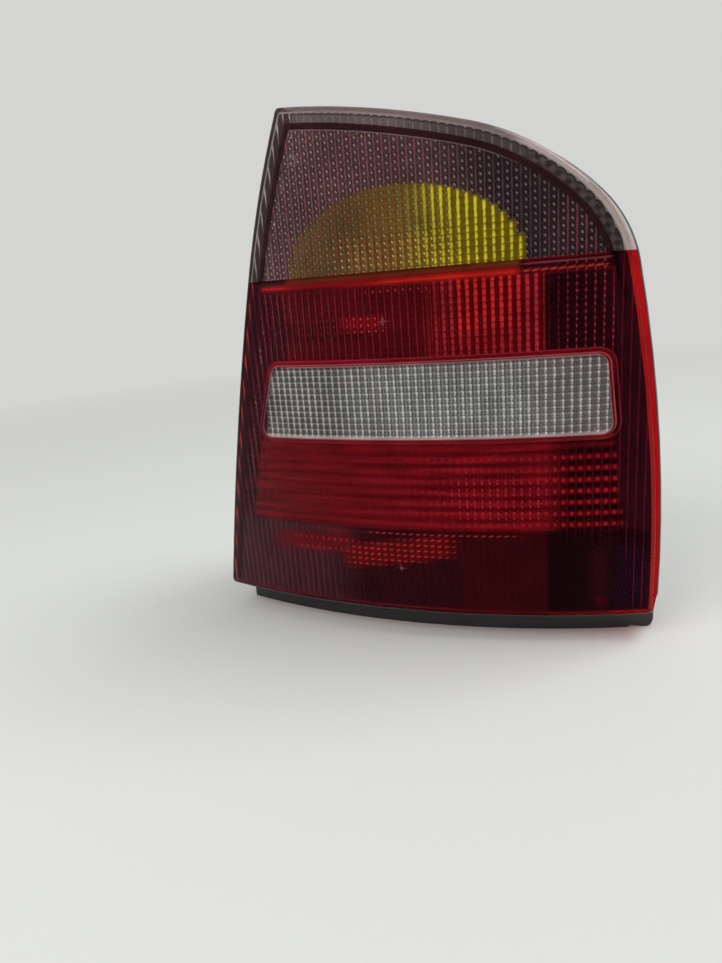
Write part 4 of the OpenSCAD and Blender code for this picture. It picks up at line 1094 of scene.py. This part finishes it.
red = optics(
    "red_optics", RED_LINES, (0.6, 0.05, 0.06), marks=[(-18.5, 65), (-17.5, -77)],
    kept=0.45, rows_below=-1.5, bar=(0.5, 0.33), beads=(64, 46, (168, 66, 84)), flat_below=-50.0, streaks=(-52, -1)
)
clear = optics(
    "window_optics", CLEAR_LINES, (0.9, 0.9, 0.9), scuffs=[(-88, 7, 9), (-92, 30, 5), (84, 3.5, 6)],
    kept=0.4, rungs=0.45, bar=(0.36, 0.18)
)
# Slot 1 of each lens
smoke_face = glass("smoked_lens_face", (0.97, 0.95, 0.95), (0.95, 0.93, 0.93), (0.95, 0.95, 0.95), shine=FACE_SHINE)
red_face = glass("red_lens_face", (0.98, 0.93, 0.93), (0.96, 0.90, 0.90), (0.95, 0.9, 0.9), shine=FACE_SHINE)
clear_face = glass("window_face", (0.98, 0.98, 0.98), (0.96, 0.96, 0.96), (0.95, 0.95, 0.95), shine=FACE_SHINE)
# The other pieces
prism_red = moulded("reflex_prisms", (0.85, 0.10, 0.12), (0.60, 0.05, 0.07), rough=(0.25, 0.4))
band_red = glass("reflex_red", (0.80, 0.02, 0.03), (0.70, 0.01, 0.02), (0.5, 0.01, 0.015))
amber = glass("amber_plastic", (0.90, 0.66, 0.02), (0.82, 0.52, 0.01), (0.8, 0.5, 0.02))
bulb_clear = glass("bulb_clear", (0.98, 0.98, 0.98), (0.96, 0.96, 0.96), (0.95, 0.95, 0.95), rough=(0, 0.01))
bulb_amber = glass("bulb_amber", (0.95, 0.45, 0.05), (0.9, 0.38, 0.03), (0.8, 0.4, 0.05), rough=(0, 0.01))
black = moulded("housing_black", (0.022, 0.023, 0.025), (0.012, 0.012, 0.013))
foam = moulded("foam", (0.03, 0.03, 0.032), (0.012, 0.012, 0.012), rough=(0.85, 1.0), grain=700, bump_h=0.0006)
steel = moulded("steel", (0.62, 0.62, 0.60), (0.48, 0.48, 0.47), rough=(0.22, 0.38), metallic=1.0)
rubber = moulded("rubber_black", (0.03, 0.03, 0.03), (0.015, 0.015, 0.015), rough=(0.6, 0.8))
grey = moulded("carrier_grey", (0.42, 0.42, 0.41), (0.34, 0.34, 0.33), rough=(0.4, 0.6))
brass = moulded("track_brass", (0.72, 0.53, 0.24), (0.60, 0.42, 0.18), rough=(0.22, 0.4), metallic=1.0)
cap_brass = moulded("bulb_cap_brass", (0.70, 0.62, 0.45), (0.58, 0.50, 0.35), rough=(0.2, 0.4), metallic=1.0)
filament = moulded("filament_steel", (0.35, 0.35, 0.36), (0.22, 0.22, 0.23), rough=(0.3, 0.5), metallic=1.0)

reflex = reflex_plate()
studs = threaded_studs(lowest_y(nodes["mounting_studs"]) / MM)
pin_marks = moulding_marks(lowest_y(nodes["breather_caps"]) / MM)
for piece, mats, node, slot in (
    (lens_smoke, (smoke, smoke_face), "lens_smoke", "lens_smoke"),
    (lens_red, (red, red_face), "lens_red", "lens_red"),
    (lens_clear, (clear, clear_face), "lens_clear", "lens_clear"),
    (reflex, (band_red, prism_red), "reflex_band", "reflex_red"),
    (studs, (steel,), "mounting_studs", "steel"),
    (pin_marks, (black,), None, "housing_black"),
):
    set_material(piece, *mats)
    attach(piece, "root")
    if node:
        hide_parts(node)

# By a node's whole name, or else by a part of it
NODE_MATERIALS = {
    "lens_smoke": smoke, "lens_red": red, "lens_clear": clear, "reflex_band": band_red, "indicator_filter": amber,
    "reflector": metallised(), "housing": black, "body_gasket": foam, "mounting_studs": steel,
    "breather_caps": rubber, "carrier_seal": rubber, "bulb_carrier": grey, "indicator_bulb_glass": bulb_amber,
}
KIND_MATERIALS = {"track_": brass, "_bulb_cap": cap_brass, "_filament": filament, "_bulb_glass": bulb_clear}
for name, node in nodes.items():
    set_material(node, NODE_MATERIALS.get(name) or next(mat for kind, mat in KIND_MATERIALS.items() if kind in name))

# ---------------- stage
FLOOR_ENDS, FLOOR_COLOUR = (-3, 3), (0.72, 0.73, 0.71, 1)
FADE_FROM, FADE_TO = 0.35, 1.4
BACK, ROOM_LIGHT, BACK_LIGHT = (0.66, 0.665, 0.65, 1), 0.7, 1.0


def floor_material():
    """Pale and matt. It fades into the background with the distance from the part."""
    mat, nt = material("floor")
    matt = new_node(nt, "BsdfDiffuse", {"Color": FLOOR_COLOUR}).outputs["BSDF"]
    gone = new_node(nt, "BsdfTransparent").outputs["BSDF"]
    return surfaced(mat, mixed(nt, spread(nt, length(nt, coords(nt)), 0, 1, FADE_FROM, FADE_TO), matt, gone))


corners = [(x, y, cad_box[0][2]) for x in FLOOR_ENDS for y in FLOOR_ENDS]
floor = new_object("floor", corners, [(0, 2, 3, 1)])
set_material(floor, floor_material())

# The world is pale for the camera, for mirrors and through glass, and dimmer for the light that it gives
world, wt = emptied(bpy.data.worlds.new("pale"))
bpy.context.scene.world = world
rays = new_node(wt, "LightPath").outputs
seen = Number(wt, rays["Is Camera Ray"])
for kind in ("Is Glossy Ray", "Is Transmission Ray"):
    seen = seen.math("MAXIMUM", Number(wt, rays[kind]))
room, pale = (
    new_node(wt, "Background", {"Color": BACK, "Strength": light}).outputs["Background"]
    for light in (ROOM_LIGHT, BACK_LIGHT)
)
new_node(wt, "OutputWorld", links={"Surface": mixed(wt, seen.socket, room, pale)})


def lamp(name, where, power, side=0.9):
    """A square lamp that looks at the origin."""
    data = bpy.data.lights.new(name, "AREA")
    data.shape = "SQUARE"
    data.size = side
    data.energy = power
    obj = linked(bpy.data.objects.new(name, data))
    obj.location = where
    obj.rotation_euler = (-Vector(where)).to_track_quat("-Z", "Y").to_euler()


lamp("key", (0.8, 0.5, 1.5), 16)
lamp("front", (-0.35, -1.1, 0.95), 9)

# The camera, as solved from the lens's outline in the photograph: its turn, tilt from straight down and roll
CAMERA_AT, CAMERA_TURN = (0.17181, -0.40710, 0.08992), (32.7835, 90 - 16.4322, -4.8632)
FOCAL, SENSOR, CLIP = 26.168, 36, (0.01, 50)
camera = linked(bpy.data.objects.new("camera", bpy.data.cameras.new("camera")))
pose = Matrix.Translation(CAMERA_AT)
for angle, axis in zip(CAMERA_TURN, "ZXZ"):
    pose = pose @ Matrix.Rotation(math.radians(angle), 4, axis)
camera.matrix_world = pose
camera.data.lens, camera.data.sensor_width = FOCAL, SENSOR
camera.data.clip_start, camera.data.clip_end = CLIP
bpy.context.scene.camera = camera
bpy.context.scene.view_settings.view_transform = "Standard"
